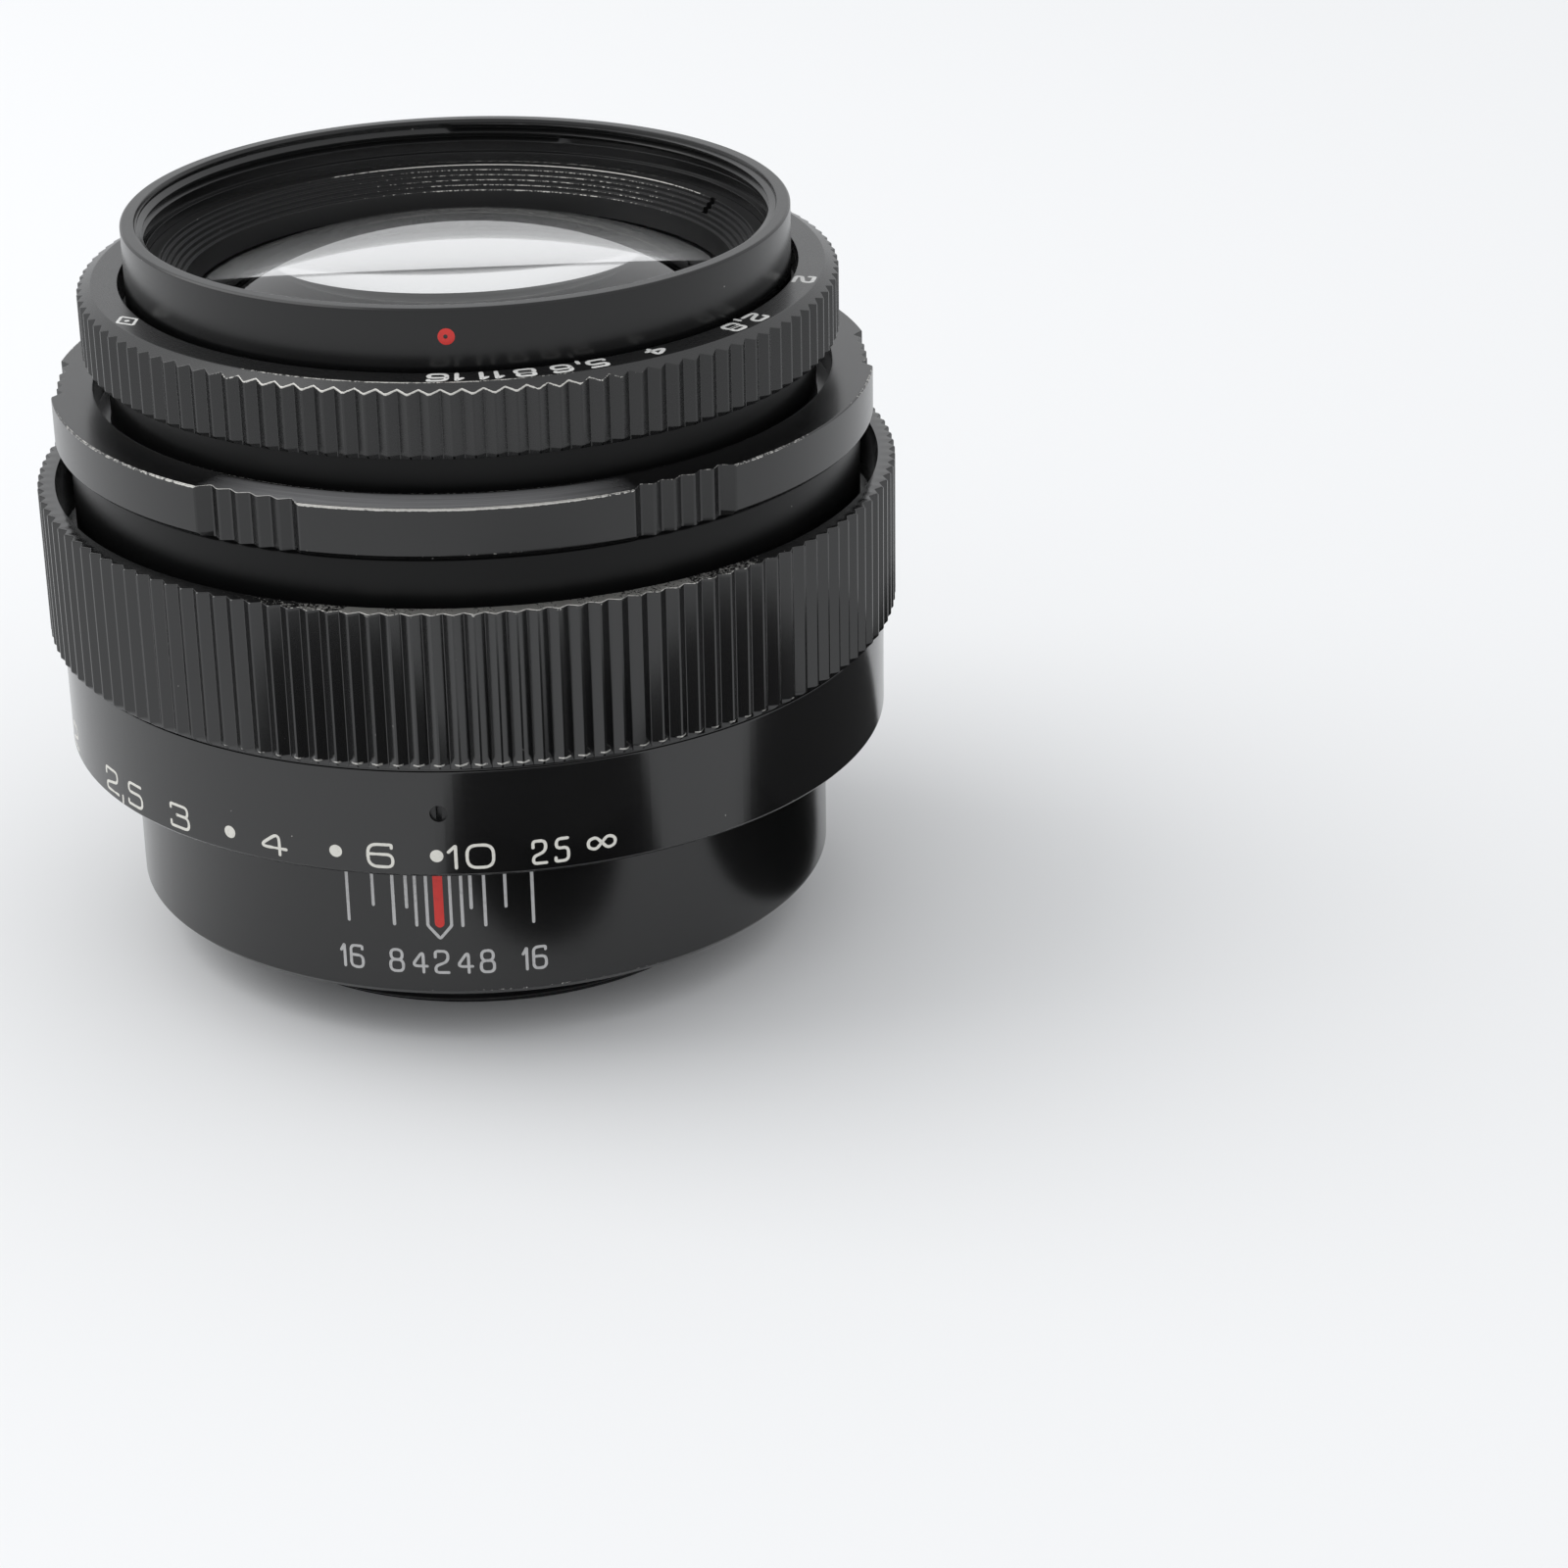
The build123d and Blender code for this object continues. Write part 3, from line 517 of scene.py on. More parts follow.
def optical_glass(name, index):
    """Polished glass with a trace of dust."""
    graph = Graph(name)
    where, _ = graph.place()
    haze = graph.ramp(graph.noise(where, 1.3, 5.0, 0.75), 0.62, 0.95)
    clear = graph.mix(haze, (0.995, 0.997, 0.994, 1), (0.975, 0.975, 0.97, 1))
    graph.link(clear, graph.shader.inputs["Base Color"])
    graph.shader.inputs["Roughness"].default_value = 0.0
    graph.shader.inputs["Transmission Weight"].default_value = 1.0
    graph.shader.inputs["IOR"].default_value = index
    return graph.material


black_focus = black_finish("black_focus_finish", rough=0.15, gloss=0.72)
black_ring = black_finish("black_ring_finish", tone=0.006, rough=0.27, gloss=0.58, dust=0.45)
black_aperture = black_finish("black_aperture_finish", rough=0.24, gloss=0.62,
                              rubbed=(aperture_top - 0.02, 29.0, aperture_radius - 0.1))
black_barrel = black_finish("black_barrel_finish", rough=0.17, gloss=0.66, dust=0.35)
black_sleeve = black_finish("black_sleeve_finish", rough=0.30, gloss=0.2, dust=0.35)
black_front = black_finish("black_front_finish", rough=0.25, gloss=0.45, turned=0.002, dust=0.3)
retainer_black = black_finish("retainer_finish", tone=0.008, rough=0.36, gloss=0.3, turned=0.002, dust=0.7)
mount_black = black_finish("mount_finish", tone=0.008, rough=0.28, dust=0.6)
set_screw_metal = black_finish("set_screw_finish", tone=0.006, rough=0.30, dust=0.3)
cell_black = matt_black("cell_black_finish")
edge_black = matt_black("lens_edge_paint", tone=0.006, rough=0.5)
blade_metal = black_finish("blade_finish", tone=0.02, rough=0.34, dust=0.0)
brass = bare_metal("greased_brass", (0.66, 0.48, 0.22))
aluminium = bare_metal("turned_aluminium", (0.68, 0.69, 0.70))
steel = bare_metal("screw_steel", (0.55, 0.55, 0.56))
figure_paint = enamel_paint("ivory_paint", (0.66, 0.65, 0.60), grime=(0.32, 0.31, 0.29))
scale_paint = enamel_paint("grey_paint", (0.46, 0.46, 0.46), grime=(0.14, 0.14, 0.14))
white_paint = enamel_paint("white_paint", (0.80, 0.80, 0.78))
red_paint = enamel_paint("red_paint", (0.60, 0.024, 0.018), grime=(0.30, 0.012, 0.010), rough=0.3)
front_glass = optical_glass("front_glass", 1.68)
crown_glass = optical_glass("crown_glass", 1.62)
flint_glass = optical_glass("flint_glass", 1.68)

# ---- mount and fixed barrel ------------------------------------------------------------------------
throat_radius, thread_radius, thread_depth = 18.6, 21.0, 0.58
mount_lip_radius, mount_plate = 22.15, 0.75
mount_screw_circle, mount_screw_hole = 23.1, 1.1
barrel_bore, floor_bore, recess_radius, recess_depth = 26.3, 22.2, 24.45, 0.8
flange_height = 1.4
mount = ring("mount_ring_body", [
    (throat_radius, thread_end),
    (thread_radius - thread_depth - 0.05, thread_end),
    (thread_radius - thread_depth - 0.05, seat_height + 0.25),
    (thread_radius + 0.15, seat_height + 0.25),
    (thread_radius + 0.15, seat_height),
    (seat_radius, seat_height),
    (seat_radius, seat_height + mount_plate),
    (mount_lip_radius, seat_height + mount_plate),
    (mount_lip_radius, mount_floor),
    (throat_radius, mount_floor),
], "base", mount_black)
drill(mount, [
    (mount_screw_hole, 1.0, Matrix.Translation(Vector(spot(mount_screw_circle, angle, seat_height)) * MM))
    for angle in (120, 240, 360)
])
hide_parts("mount_ring")
mount_thread = helix_thread(
    "camera_thread", thread_radius, thread_radius - thread_depth, thread_end + 0.15, seat_height - 0.35, 1.0,
    False, "base", mount_black)

base = ring("base_barrel_shell", [
    (barrel_bore, mount_floor),
    (floor_bore, mount_floor),
    (floor_bore, seat_height + recess_depth),
    (recess_radius, seat_height + recess_depth),
    (recess_radius, seat_height, 0.2),
    (barrel_radius - 0.5, seat_height, 0.5),
    (barrel_radius, seat_height + 0.5, 0.5),
    (barrel_radius, base_top - flange_height),
    (base_flange_radius, base_top - flange_height),
    (base_flange_radius, base_top),
    (barrel_bore, base_top),
], "base", black_barrel, wear_at=lambda angle: 0.55 + 0.25 * math.sin(math.radians(angle * 3 + 40)))
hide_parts("base_barrel")

# ---- focusing ring ---------------------------------------------------------------------------------
random.seed(7)
tooth_wear = [random.uniform(0.75, 1.1) for _ in range(400)]


def bump_window(angle, centre, half):
    """1 at the centre of a window of angle, falling to 0 at its ends."""
    offset = (angle - centre + 180) % 360 - 180
    return max(0.0, 1 - (offset / half) ** 2)


def focus_wear(angle):
    """The grip is worn most where the focus hand meets it, a little elsewhere."""
    worn = 0.28 + 0.75 * bump_window(angle, 12, 42) + 0.3 * bump_window(angle, 190, 60)
    return worn * tooth_wear[int(angle % 360 / 2.6)]


focus_bore, nut_radius, skirt_bore, focus_rim_radius = 31.35, 30.65, 28.4, 32.4
nut_bottom, nut_top, focus_groove_floor = 19.2, 26.0, 33.0
skirt_groove_depth = 0.16
focus = ring("focus_ring_knurl", [
    (focus_bore, nut_top),
    (nut_radius, nut_top),
    (nut_radius, nut_bottom),
    (skirt_bore, nut_bottom),
    (skirt_bore, skirt_bottom),
    (skirt_radius - 0.3, skirt_bottom, 0.15),
    (skirt_radius, skirt_bottom + 0.3, 0.25),
    (skirt_radius, skirt_top, 0.1),
    (skirt_radius - skirt_groove_depth, skirt_top),
    (skirt_radius - skirt_groove_depth, knurl_bottom),
    (focus_radius - 0.45, knurl_bottom),
    (focus_radius, knurl_bottom + 0.45, 1.3),
    (focus_radius, knurl_bottom + 1.2, -0.3),
    (focus_radius, focus_top - 1.2, -0.3),
    (focus_radius, focus_top - 0.1, 0.5),
    (focus_radius - 0.1, focus_top, -0.8),
    (focus_rim_radius, focus_top, -0.75),
    (focus_rim_radius, focus_groove_floor),
    (focus_bore, focus_groove_floor),
], "focus_group", black_focus, size=0.04,
    columns=tooth_columns(focus_teeth, focus_radius, focus_tooth_depth), wear_at=focus_wear)
set_screw_angle, set_screw_height, set_screw_hole = 1.95, 22.24, 0.66
drill(focus, [
    (set_screw_hole, 6.0, outward(set_screw_angle + turn, skirt_radius, set_screw_height))
    for turn in (0, 120, 240)
])
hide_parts("focus_ring")

# ---- main barrel, aperture ring and preset ring ----------------------------------------------------
sleeve_bore, hub_bore, carrier_bore = 30.0, 25.1, 23.6
hub_ledge, carrier_top = 46.0, 40.5
barrel = ring("main_barrel_shell", [
    (sleeve_bore, sleeve_bottom),
    (sleeve_radius, sleeve_bottom),
    (sleeve_radius, aperture_bottom - 0.42),
    (sleeve_radius - 0.25, aperture_bottom - 0.17),
    (hub_radius, aperture_bottom - 0.17),
    (hub_radius, hub_top),
    (hub_bore, hub_top),
    (hub_bore, hub_ledge),
    (carrier_bore, hub_ledge),
    (carrier_bore, carrier_top),
    (sleeve_bore, carrier_top),
], "optical_unit", black_sleeve)
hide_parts("main_barrel")


def aperture_wear(angle):
    """Worn in patches along the inner lip and on the grips."""
    return 0.35 + 0.5 * bump_window(angle, -5, 50) + 0.25 * math.sin(math.radians(angle * 5 + 20)) ** 2


aperture_bore, aperture_rim_radius, aperture_groove_floor = 27.65, 28.85, 43.2
aperture = ring("aperture_ring_grip", [
    (aperture_bore, aperture_bottom),
    (aperture_radius - 0.4, aperture_bottom),
    (aperture_radius, aperture_bottom + 0.4, 0.35),
    (aperture_radius, aperture_top - 0.08, 0.85),
    (aperture_radius - 0.08, aperture_top, 0.85),
    (aperture_rim_radius, aperture_top, 0.55),
    (aperture_rim_radius, aperture_groove_floor),
    (aperture_bore, aperture_groove_floor),
], "aperture_group", black_aperture, size=0.04, columns=grip_columns(aperture_radius), wear_at=aperture_wear)
drive_screw_hole, drive_screw_height = 1.12, 44.0
drill(aperture, [(drive_screw_hole, 4.6, outward(180, aperture_radius, drive_screw_height))])
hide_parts("aperture_ring")


def preset_wear(angle):
    """The front edge of the preset ring is rubbed bright where fingers turn it."""
    worn = 0.16 + 0.95 * bump_window(angle, 1, 38) + 0.35 * bump_window(angle, 200, 50)
    return worn * tooth_wear[int(angle % 360 / 3.05)]


preset_bore, preset_bevel_radius, preset_bevel_height = 25.8, 28.35, 0.53
preset_recess_radius, preset_recess_floor = 26.3, 51.5
preset = ring("preset_ring_knurl", [
    (preset_bore, preset_bottom),
    (preset_radius - 0.35, preset_bottom),
    (preset_radius, preset_bottom + 0.35, 0.3),
    (preset_radius, preset_top - preset_bevel_height, 1.0),
    (preset_bevel_radius, preset_top, 0.65),
    (preset_recess_radius, preset_top, 0.2),
    (preset_recess_radius, preset_recess_floor),
    (preset_bore, preset_recess_floor),
], "preset_group", black_ring, size=0.035,
    columns=tooth_columns(preset_teeth, preset_radius, preset_tooth_depth), wear_at=preset_wear)
stop_screw_hole, stop_screw_height = 0.52, 50.0
drill(preset, [(stop_screw_hole, 3.0, outward(180, preset_radius, stop_screw_height))])
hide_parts("preset_ring")

# ---- front barrel and retaining ring ---------------------------------------------------------------
thread_root, thread_crest, thread_pitch = 24.5, 24.09, 0.75
thread_low, thread_high = front_top - 1.75, front_top - 0.26
front_seat_bore, front_tail_radius, front_rim_bore = 20.6, 25.05, 24.7
front_rear, front_glass_seat = 47.4, 48.9
relief_bottom = thread_low - 0.88
front = ring("front_barrel_shell", [
    (front_seat_bore, front_rear),
    (front_tail_radius, front_rear),
    (front_tail_radius, hub_top),
    (front_radius, hub_top),
    (front_radius, front_top - 0.15, 0.25),
    (front_radius - 0.15, front_top, 0.25),
    (front_rim_bore, front_top, 0.2),
    (thread_root + 0.1, thread_high),
    (thread_root + 0.1, thread_low),
    (thread_root + 0.05, thread_low - 0.1),
    (thread_root + 0.05, relief_bottom),
    (retainer_radius, relief_bottom),
    (retainer_radius, retainer_bottom),
    (glass_radius + 0.04, retainer_bottom),
    (glass_radius + 0.04, front_glass_seat),
    (front_seat_bore, front_glass_seat),
], "optical_unit", black_front, size=0.04, wear_at=lambda angle: 0.5)
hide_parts("front_barrel")
filter_thread = helix_thread(
    "filter_thread_ring", thread_crest, thread_root, thread_low, thread_high, thread_pitch, True,
    "optical_unit", black_front)

ridge_count, ridge_size, ridge_start = 5, 1 / 3, 22.97
retainer_bore, retainer_toe = 20.95, 52.05
ridge_profile = [
    (glass_radius, retainer_bottom + 0.02),
    (retainer_radius - 0.01, retainer_bottom + 0.02),
    (retainer_radius - 0.01, retainer_top, -0.6),
    (ridge_start, retainer_top, 1.0),
]
for ridge in range(1, ridge_count + 1):
    across = ridge * ridge_size
    ridge_profile.append((ridge_start - across + ridge_size - 0.05, retainer_top - across))
    ridge_profile.append((ridge_start - across, retainer_top - across, 0.6))
ridge_profile.append((retainer_bore, retainer_toe))
retainer = ring("front_retaining_ring_stepped", ridge_profile, "optical_unit", retainer_black, size=0.045,
                wear_at=lambda angle: 0.3 + 0.6 * bump_window(angle, 172, 50))
notch_circle, notch_size = 22.6, (1.2, 0.7, 3.0)
notch_mesh = bpy.data.meshes.new("notches")
notch_work = bmesh.new()
for angle in (125, 305):
    place = Matrix.Translation(Vector(spot(notch_circle, angle, retainer_top)) * MM)
    turn = Matrix.Rotation(math.radians(angle - 90), 4, "Z")
    bmesh.ops.create_cube(notch_work, size=MM, matrix=place @ turn @ Matrix.Diagonal((*notch_size, 1)))
notch_work.to_mesh(notch_mesh)
notch_work.free()
cut_with(retainer, notch_mesh)
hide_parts("front_retaining_ring")


# ---- glass -----------------------------------------------------------------------------------------
def surface(vertex, curve, start, end, steps=44):
    """Points of a spherical surface from one radius to another.  A positive curve bends away to the rear."""
    points = []
    for k in range(steps + 1):
        radius = start + (end - start) * k / steps
        drop = abs(curve) - math.sqrt(curve ** 2 - radius ** 2) if curve else 0.0
        points.append((radius, vertex - math.copysign(drop, curve)))
    return points


def lens(name, nodes, radius, front, rear, glass, rear_radius=None):
    """Glass body with polished faces and a blackened edge.

    front and rear give the height of a face's vertex and the radius of its curve.
    """
    rear_radius = rear_radius or radius
    outline = surface(*front, 0.0, radius)
    back = surface(*rear, rear_radius, 0.0)
    polished_rear = back[0][1]
    if rear_radius < radius:
        outline.append((radius, polished_rear))
    outline += back
    piece = ring(name, outline, "optical_unit", glass, size=0, closed=False, sharp=(20, 20))
    piece.data.materials.append(edge_black)
    for face in piece.data.polygons:
        centre = face.center / MM
        across = math.hypot(centre.x, centre.y)
        on_edge = abs(face.normal.z) < 0.05 and across > radius - 0.05
        on_flat = abs(centre.z - polished_rear) < 0.01 and across > rear_radius and abs(face.normal.z) > 0.99
        if on_edge or on_flat:
            face.material_index = 1
    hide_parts(*nodes)
    return piece


lens("front_element_glass", ["front_element"], glass_radius - 0.02, (glass_top, 52.0), (49.96, 230.0),
     front_glass, rear_radius=20.4)
lens("front_group_glass", [f"front_group_element_{k}" for k in (1, 2, 3)], 17.48, (49.0, 33.0), (36.5, 21.0),
     flint_glass, rear_radius=14.0)
lens("rear_group_glass", [f"rear_group_element_{k}" for k in (1, 2, 3)], 13.48, (25.2, 0.0), (8.6, -60.0),
     crown_glass)


# ---- engraved and painted marks --------------------------------------------------------------------
GLYPHS = {
    "0": [([(0, 0), (1, 0), (1, 1), (0, 1)], True)],
    "1": [([(0.05, 0.72), (0.6, 1.0), (0.6, 0)], False)],
    "2": [([(0.02, 0.72), (0.02, 1), (0.98, 1), (0.98, 0.52), (0.02, 0.3), (0.02, 0), (1, 0)], False)],
    "3": [([(0.02, 0.82), (0.02, 1), (0.95, 1), (0.95, 0.54), (0.35, 0.54)], False),
          ([(0.35, 0.54), (1, 0.54), (1, 0), (0, 0), (0, 0.2)], False)],
    "4": [([(0.76, 0), (0.76, 1), (0.0, 0.28), (1.0, 0.28)], False)],
    "5": [([(0.94, 1), (0.08, 1), (0.05, 0.57), (0.98, 0.6), (0.98, 0), (0, 0), (0, 0.16)], False)],
    "6": [([(0.95, 0.86), (0.95, 1), (0.02, 1), (0.02, 0), (0.98, 0), (0.98, 0.56), (0.04, 0.56)], False)],
    "8": [([(0.06, 0.53), (0.06, 1), (0.94, 1), (0.94, 0.53)], True),
          ([(0, 0.53), (0, 0), (1, 0), (1, 0.53)], True)],
    "9": [([(0.05, 0.14), (0.05, 0), (0.98, 0), (0.98, 1), (0.02, 1), (0.02, 0.44), (0.96, 0.44)], False)],
    ",": [([(0.12, 0.1), (0.0, -0.2)], False)],
    "inf": [([(0.5, 0.5), (0.28, 0.95), (0.0, 0.75), (0.0, 0.25), (0.28, 0.05), (0.5, 0.5), (0.72, 0.95),
              (1.0, 0.75), (1.0, 0.25), (0.72, 0.05)], True)],
}


def softened(points, closed, size):
    """Path with its corners rounded."""
    count = len(points)
    path = []
    for k, point in enumerate(points):
        here = Vector(point)
        if not closed and k in (0, count - 1):
            path.append(here)
            continue
        before = Vector(points[k - 1]) - here
        after = Vector(points[(k + 1) % count]) - here
        cut = min(size, 0.48 * before.length, 0.48 * after.length)
        start = here + before.normalized() * cut
        end = here + after.normalized() * cut
        for step in range(7):
            t = step / 6
            path.append((1 - t) ** 2 * start + 2 * t * (1 - t) * here + t ** 2 * end)
    return path


def stroke(mesh, path, closed, half, place, lift=0.012):
    """Add a thin domed ribbon of paint along a path on a surface.

    place maps (across, up, lift) to a point.
    """
    if not closed:
        head = (path[0] - path[1]).normalized()
        tail = (path[-1] - path[-2]).normalized()
        caps = [(math.sin(math.radians(a)) * half, math.cos(math.radians(a)) * half) for a in (30, 60, 80)]
        path = (
            [(path[0] + head * out, width) for out, width in reversed(caps)]
            + [(p, half) for p in path]
            + [(path[-1] + tail * out, width) for out, width in caps]
        )
    else:
        path = [(p, half) for p in path]
    section = ((-1, -0.03), (-1, lift * 0.4), (-0.5, lift), (0.5, lift), (1, lift * 0.4), (1, -0.03))
    points, faces = mesh
    first = len(points)
    count = len(path)
    for k, (here, width) in enumerate(path):
        before = path[k - 1][0] if closed or k else here
        after = path[(k + 1) % count][0] if closed or k < count - 1 else here
        along = (after - before).normalized()
        side = Vector((-along.y, along.x)) * (width * random.uniform(0.93, 1.07))
        for offset, height in section:
            spot_2d = here + side * offset
            points.append(place(spot_2d.x, spot_2d.y, height))
    rows = len(section)
    for k in range(count if closed else count - 1):
        a, b = first + k * rows, first + (k + 1) % count * rows
        for row in range(rows):
            faces.append((a + row, b + row, b + (row + 1) % rows, a + (row + 1) % rows))
    if not closed:
        faces.append(tuple(first + row for row in range(rows)))
        faces.append(tuple(first + (count - 1) * rows + row for row in reversed(range(rows))))


def write(mesh, text, centre, base, width, height, half, place, gap=0.55):
    """Add figures to a mesh, centred on a place along the surface."""
    glyphs = [text] if text == "inf" else list(text)
    widths = [width * {"1": 0.38, ",": 0.16, "4": 1.2}.get(g, 1.0) for g in glyphs]
    left = centre - (sum(widths) + gap * (len(glyphs) - 1)) / 2
    for glyph, wide in zip(glyphs, widths):
        across = width * 0.5 if glyph == "1" else wide
        bend = 0.1 if glyph == "1" else 0.42 * min(wide, height)
        for points, closed in GLYPHS[glyph]:
            corners = [(left + x * across, base + y * height) for x, y in points]
            stroke(mesh, softened(corners, closed, bend), closed, half, place)
        left += wide + gap


def dot(mesh, across, up, radius, place, lift=0.014):
    """Add a round domed spot of paint."""
    points, faces = mesh
    first = len(points)
    steps = 28
    rings = ((1.0, -0.03), (1.0, lift * 0.3), (0.8, lift), (0.35, lift * 1.1))
    for share, height in rings:
        for k in range(steps):
            turn = 2 * math.pi * k / steps
            reach = radius * share
            points.append(place(across + math.cos(turn) * reach, up + math.sin(turn) * reach, height))
    for level in range(len(rings) - 1):
        for k in range(steps):
            a, b = first + level * steps, first + (level + 1) * steps
            faces.append((a + k, a + (k + 1) % steps, b + (k + 1) % steps, b + k))
    faces.append(tuple(first + 3 * steps + k for k in range(steps)))
    faces.append(tuple(first + k for k in reversed(range(steps))))


def on_cylinder(radius):
    """Place on a cylinder: across runs round it to the right, up is the height."""
    return lambda across, up, lift: spot(radius + lift, math.degrees(across / radius), up)


def on_face(radius, height):
    """Place on a flat ring that faces forward, read from behind the camera: tops point outward."""
    return lambda across, up, lift: spot(radius + up, -math.degrees(across / radius), height + lift)


def mark(name, mesh, body, material):
    """Finish a mesh of paint marks as one piece."""
    piece = make(name, *mesh, body, material, sharp=(60, 60), merge=0.0001)
    return piece


def arc(radius, angle):
    """Length round a circle for an angle in degrees."""
    return math.radians(angle) * radius


# depth-of-field scale on the fixed barrel
depth_scale = ([], [])
barrel_place = on_cylinder(barrel_radius)
hidden_top = skirt_bottom + 0.5
for lines, bottom in (((3.6, 7.15, 14.6), seat_height + 6.1), ((5.05, 10.4), seat_height + 7.6)):
    for angle in lines:
        for side in (-1, 1):
            u = arc(barrel_radius, side * angle)
            stroke(depth_scale, [Vector((u, bottom)), Vector((u, hidden_top))], False, 0.125, barrel_place)
for text, angle in (("16", 14.5), ("8", 7.15), ("4", 3.55), ("2", 0), ("4", -3.55), ("8", -7.15),
                    ("16", -14.5)):
    write(depth_scale, text, arc(barrel_radius, angle), seat_height + 2.1, 1.0, 1.82, 0.115, barrel_place,
          gap=0.42)
edge = arc(barrel_radius, 1.85)
arrow = [(-edge, hidden_top), (-edge, seat_height + 6.1), (0, seat_height + 5.0), (edge, seat_height + 6.1),
         (edge, hidden_top)]
stroke(depth_scale, softened(arrow, False, 0.15), False, 0.12, barrel_place)
mark("depth_scale_marks", depth_scale, "base", scale_paint)
index_line = ([], [])
stroke(index_line, [Vector((0, seat_height + 6.3)), Vector((0, hidden_top))], False, 0.36, barrel_place)
mark("focus_index_line", index_line, "base", red_paint)


def distance_angle(metres):
    """Where a distance stands on the skirt: the extension of an ideal lens over the lead of the helicoid."""
    distance = metres * 1000
    total = (distance - math.sqrt(distance ** 2 - 4 * focal_length * distance)) / 2
    return infinity_angle - (total - focal_length) / focus_lead * 360


distance_scale = ([], [])
skirt_place = on_cylinder(skirt_radius)
figure_base, figure_height, figure_half = skirt_bottom + 0.8, 1.82, 0.12
for metres, text in ((0.8, "0,8"), (0.9, "0,9"), (1, "1"), (1.2, "1,2"), (1.5, "1,5"), (2, "2"), (2.5, "2,5"),
                     (3, "3"), (4, "4"), (6, "6"), (10, "10")):
    write(distance_scale, text, arc(skirt_radius, distance_angle(metres)), figure_base, 1.95, figure_height,
          figure_half, skirt_place, gap=0.68)
write(distance_scale, "25", arc(skirt_radius, distance_angle(25)), figure_base, 0.98, figure_height,
      figure_half, skirt_place, gap=0.72)
write(distance_scale, "inf", arc(skirt_radius, infinity_angle), figure_base + 0.45, 2.1, 1.15,
      figure_half, skirt_place)
for metres in (3.5, 5, 8):
    dot(distance_scale, arc(skirt_radius, distance_angle(metres)), figure_base + 1.0, 0.5, skirt_place)
mark("distance_scale_marks", distance_scale, "focus_group", figure_paint)

# aperture figures on the preset ring's face
preset_scale = ([], [])
face_radius = 26.45                 # the figures stand on this circle
face_place = on_face(face_radius, preset_top)
for text, angle in (("16", 5.2), ("11", 12.1), ("8", 17.3), ("5,6", 25.8), ("4", 39.2), ("2,8", 58),
                    ("2", 81.5)):
    write(preset_scale, text, -arc(face_radius, angle), 0.13, 1.32, 1.42, 0.165, face_place, gap=0.56)
diamond_place, diamond_height = arc(face_radius, 57.5), 0.87
diamond = [
    (diamond_place + x, diamond_height + y) for x, y in ((-1.12, 0), (0, 0.8), (1.12, 0), (0, -0.8))
]
stroke(preset_scale, softened(diamond, True, 0.12), True, 0.12, face_place)
dot(preset_scale, diamond_place, diamond_height, 0.2, face_place)
mark("preset_scale_marks", preset_scale, "preset_group", white_paint)
preset_dot = ([], [])
dot_place = arc(front_radius, 5.5)
dot(preset_dot, dot_place, front_top - 2.07, 0.62, on_cylinder(front_radius), lift=0.05)
mark("preset_index_dot", preset_dot, "optical_unit", red_paint)
punch = ([], [])
dot(punch, dot_place - 0.05, front_top - 2.05, 0.17, on_cylinder(front_radius + 0.04), lift=0.03)
mark("preset_index_punch", punch, "optical_unit", set_screw_metal)

# ---- finishes of the frame's own parts -------------------------------------------------------------
finishes = {
    "mount_screws": steel,
    "guide_key_left": brass,
    "guide_key_right": brass,
    "guide_key_screws": steel,
    "focus_stop_screws": steel,
    "focus_stop_pin": steel,
    "focus_helicoid": brass,
    "helicoid_clamp_ring": brass,
    "focus_set_screws": set_screw_metal,
    "lens_carrier": aluminium,
    "front_cell": cell_black,
    "front_group_retainer": retainer_black,
    "rear_cell": cell_black,
    "rear_group_retainer": retainer_black,
    "iris_housing": cell_black,
    "iris_actuator": steel,
    "preset_click_ball": steel,
    "preset_click_spring": steel,
    "aperture_drive_screw": steel,
    "preset_stop_screw": set_screw_metal,
}
for node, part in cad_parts.items():
    finish = blade_metal if node.startswith("iris_blade") else finishes.get(node)
    if finish and not part.hide_render:
        part.data.materials.clear()
        part.data.materials.append(finish)


# ---- floor, light and camera -----------------------------------------------------------------------
def make_floor():
    """Plain pale table."""
    low = cad_box[0][2] - 0.00003
    size = 3.0
    mesh = bpy.data.meshes.new("table_top")
    mesh.from_pydata([(-size, -size, low), (size, -size, low), (size, size, low), (-size, size, low)], [],
                     [(0, 1, 2, 3)])
    floor = bpy.data.objects.new("table_top", mesh)
    bpy.context.collection.objects.link(floor)
    graph = Graph("table_white")
    graph.shader.inputs["Base Color"].default_value = (0.83, 0.835, 0.84, 1)
    graph.shader.inputs["Roughness"].default_value = 0.8
    graph.shader.inputs["Specular IOR Level"].default_value = 0.0
    mesh.materials.append(graph.material)


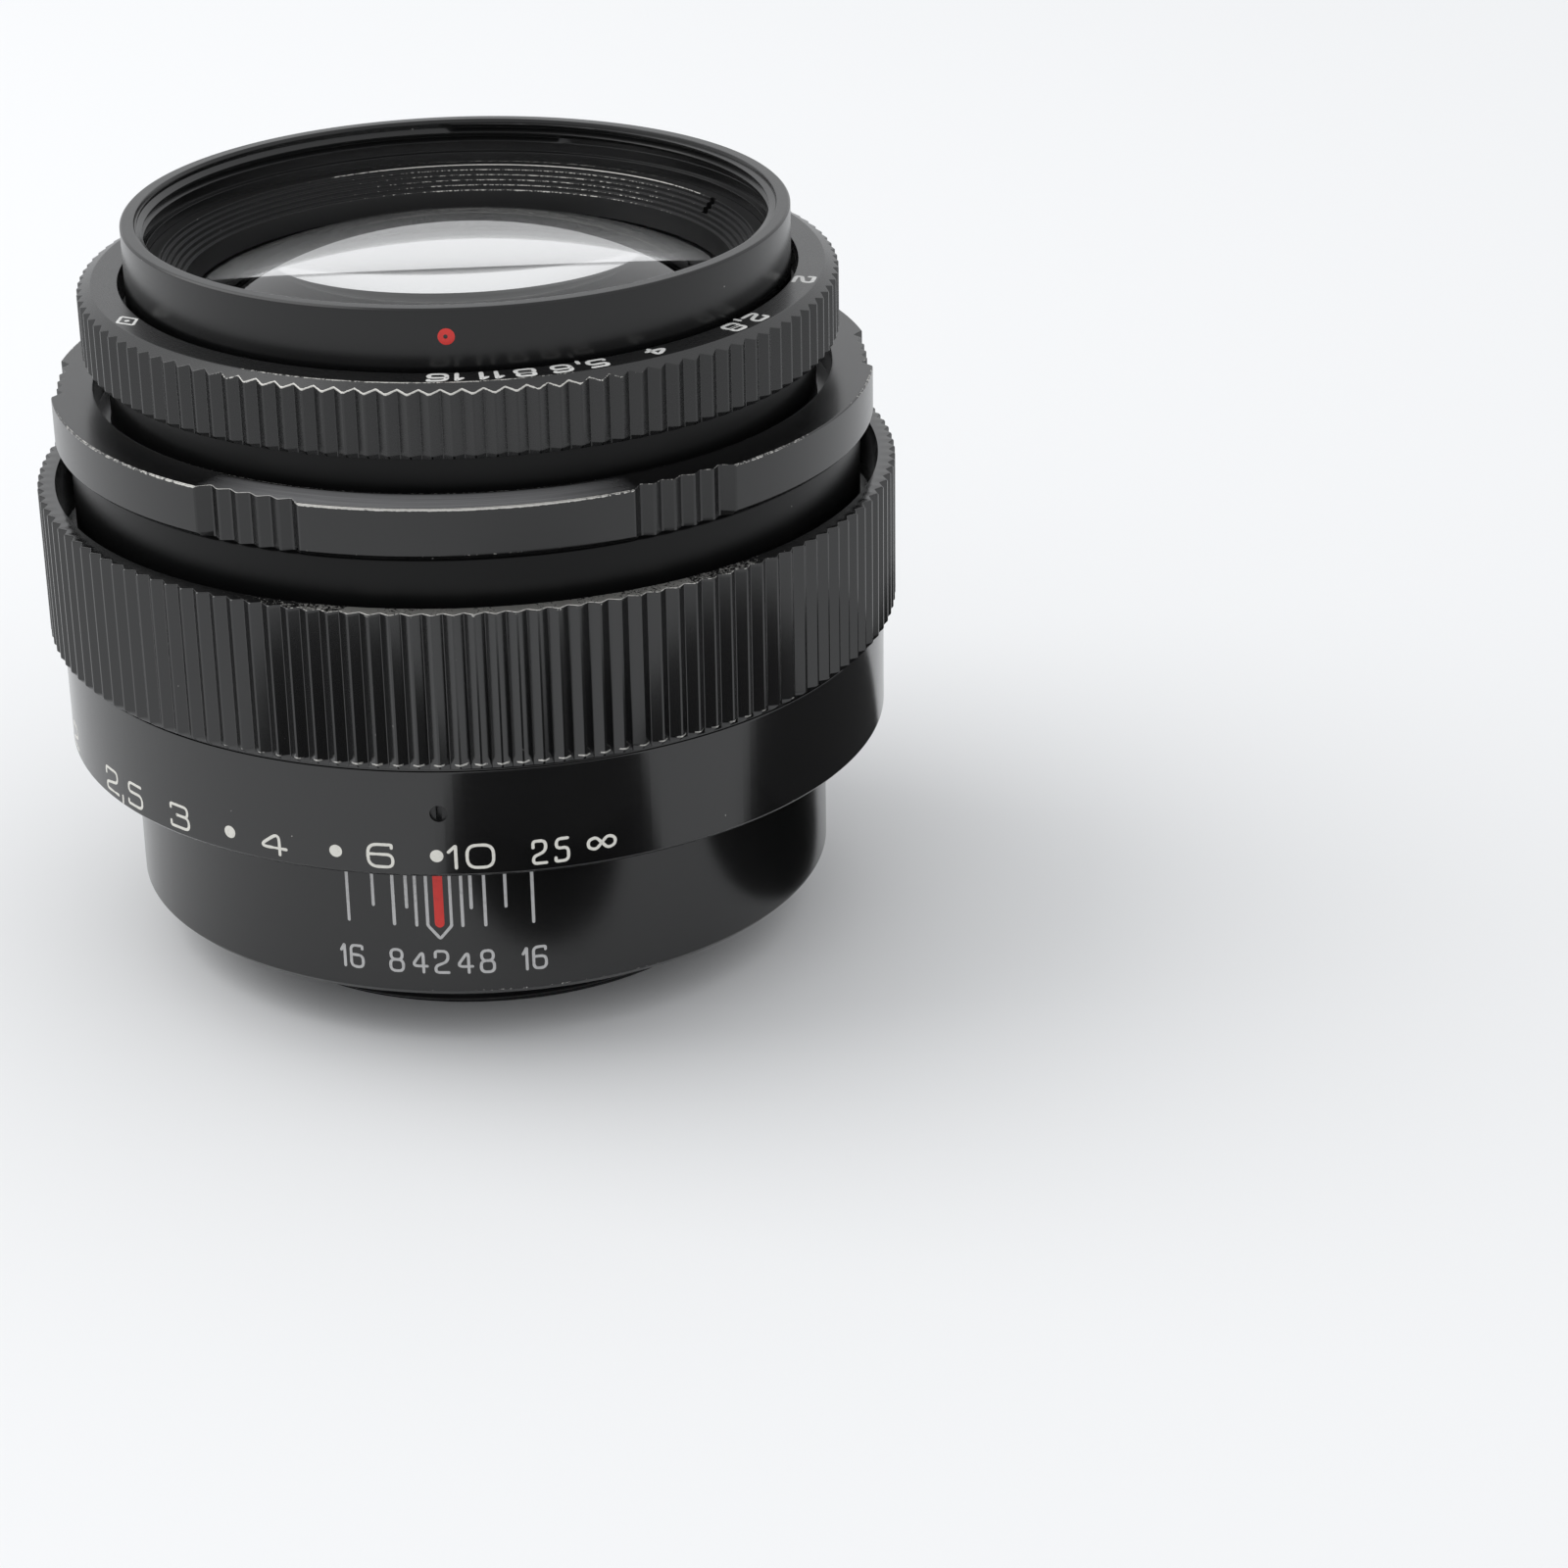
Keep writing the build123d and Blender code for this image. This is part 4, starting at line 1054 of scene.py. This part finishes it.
def make_light():
    """Bright surround, like a light tent, with a large soft light above and a weak one at the side."""
    scene = bpy.context.scene
    world = bpy.data.worlds.new("tent")
    scene.world = world
    world.use_nodes = True
    background = world.node_tree.nodes["Background"]
    background.inputs["Color"].default_value = (0.955, 0.965, 0.98, 1)
    background.inputs["Strength"].default_value = 0.93
    for name, place, size, power in (
        ("top_light", (-0.48, 0.02, 0.58), 0.6, 2.3),
        ("side_light", (0.75, -0.35, 0.45), 0.5, 0.1),
    ):
        data = bpy.data.lights.new(name, "AREA")
        data.size = size
        data.energy = power
        lamp = bpy.data.objects.new(name, data)
        bpy.context.collection.objects.link(lamp)
        lamp.location = place
        lamp.rotation_euler = (-Vector(place)).to_track_quat("-Z", "Y").to_euler()
    # two low black flags on the table: only the gloss of the lens shows them. The wide foot of each is
    # painted shade: it stands for the shaded table round the flag, and only that gloss shows it
    graph = Graph("flag_black")
    graph.shader.inputs["Base Color"].default_value = (0.004, 0.004, 0.004, 1)
    graph.shader.inputs["Roughness"].default_value = 0.6
    for name, place, painted_shade_foot, radius, height in (
        ("front_flag", (25.6, -65.1), 27.0, 22.8, 12.0),
        ("side_flag", (60.8, 1.8), 28.0, 25.6, 8.5),
    ):
        mesh = bpy.data.meshes.new(name)
        work = bmesh.new()
        middle = Matrix.Translation(Vector((*place, height / 2 + 0.1)) * MM)
        # the cone's foot, wider than its top, is painted shade of the table between flag and lens
        bmesh.ops.create_cone(work, cap_ends=True, segments=96, radius1=painted_shade_foot * MM, radius2=radius * MM,
                              depth=height * MM, matrix=middle)
        work.to_mesh(mesh)
        work.free()
        mesh.materials.append(graph.material)
        flag = bpy.data.objects.new(name, mesh)
        bpy.context.collection.objects.link(flag)
        for ray in ("camera", "diffuse", "shadow", "transmission"):
            setattr(flag, "visible_" + ray, False)
    scene.view_settings.view_transform = "Standard"


def make_camera():
    """Camera at the height, distance and slight roll that the lens was seen from."""
    pitch, roll, turn = math.radians(24.85), math.radians(-0.879), math.radians(3.45)
    place = Vector((0.024569, -0.297735, 0.146941))
    right = Vector((1, 0, 0))
    up = Vector((0, math.sin(pitch), math.cos(pitch)))
    ahead = Vector((0, math.cos(pitch), -math.sin(pitch)))
    rolled_right = right * math.cos(roll) + up * math.sin(roll)
    rolled_up = up * math.cos(roll) - right * math.sin(roll)
    axes = Matrix((rolled_right, rolled_up, -ahead)).transposed().to_4x4()
    data = bpy.data.cameras.new("camera")
    data.lens = 91.49
    data.sensor_width = 36.0
    data.clip_start = 0.01
    data.clip_end = 20.0
    camera = bpy.data.objects.new("camera", data)
    bpy.context.collection.objects.link(camera)
    camera.matrix_world = Matrix.Rotation(turn, 4, "Z") @ Matrix.Translation(place) @ axes
    bpy.context.scene.camera = camera


make_floor()
make_light()
make_camera()
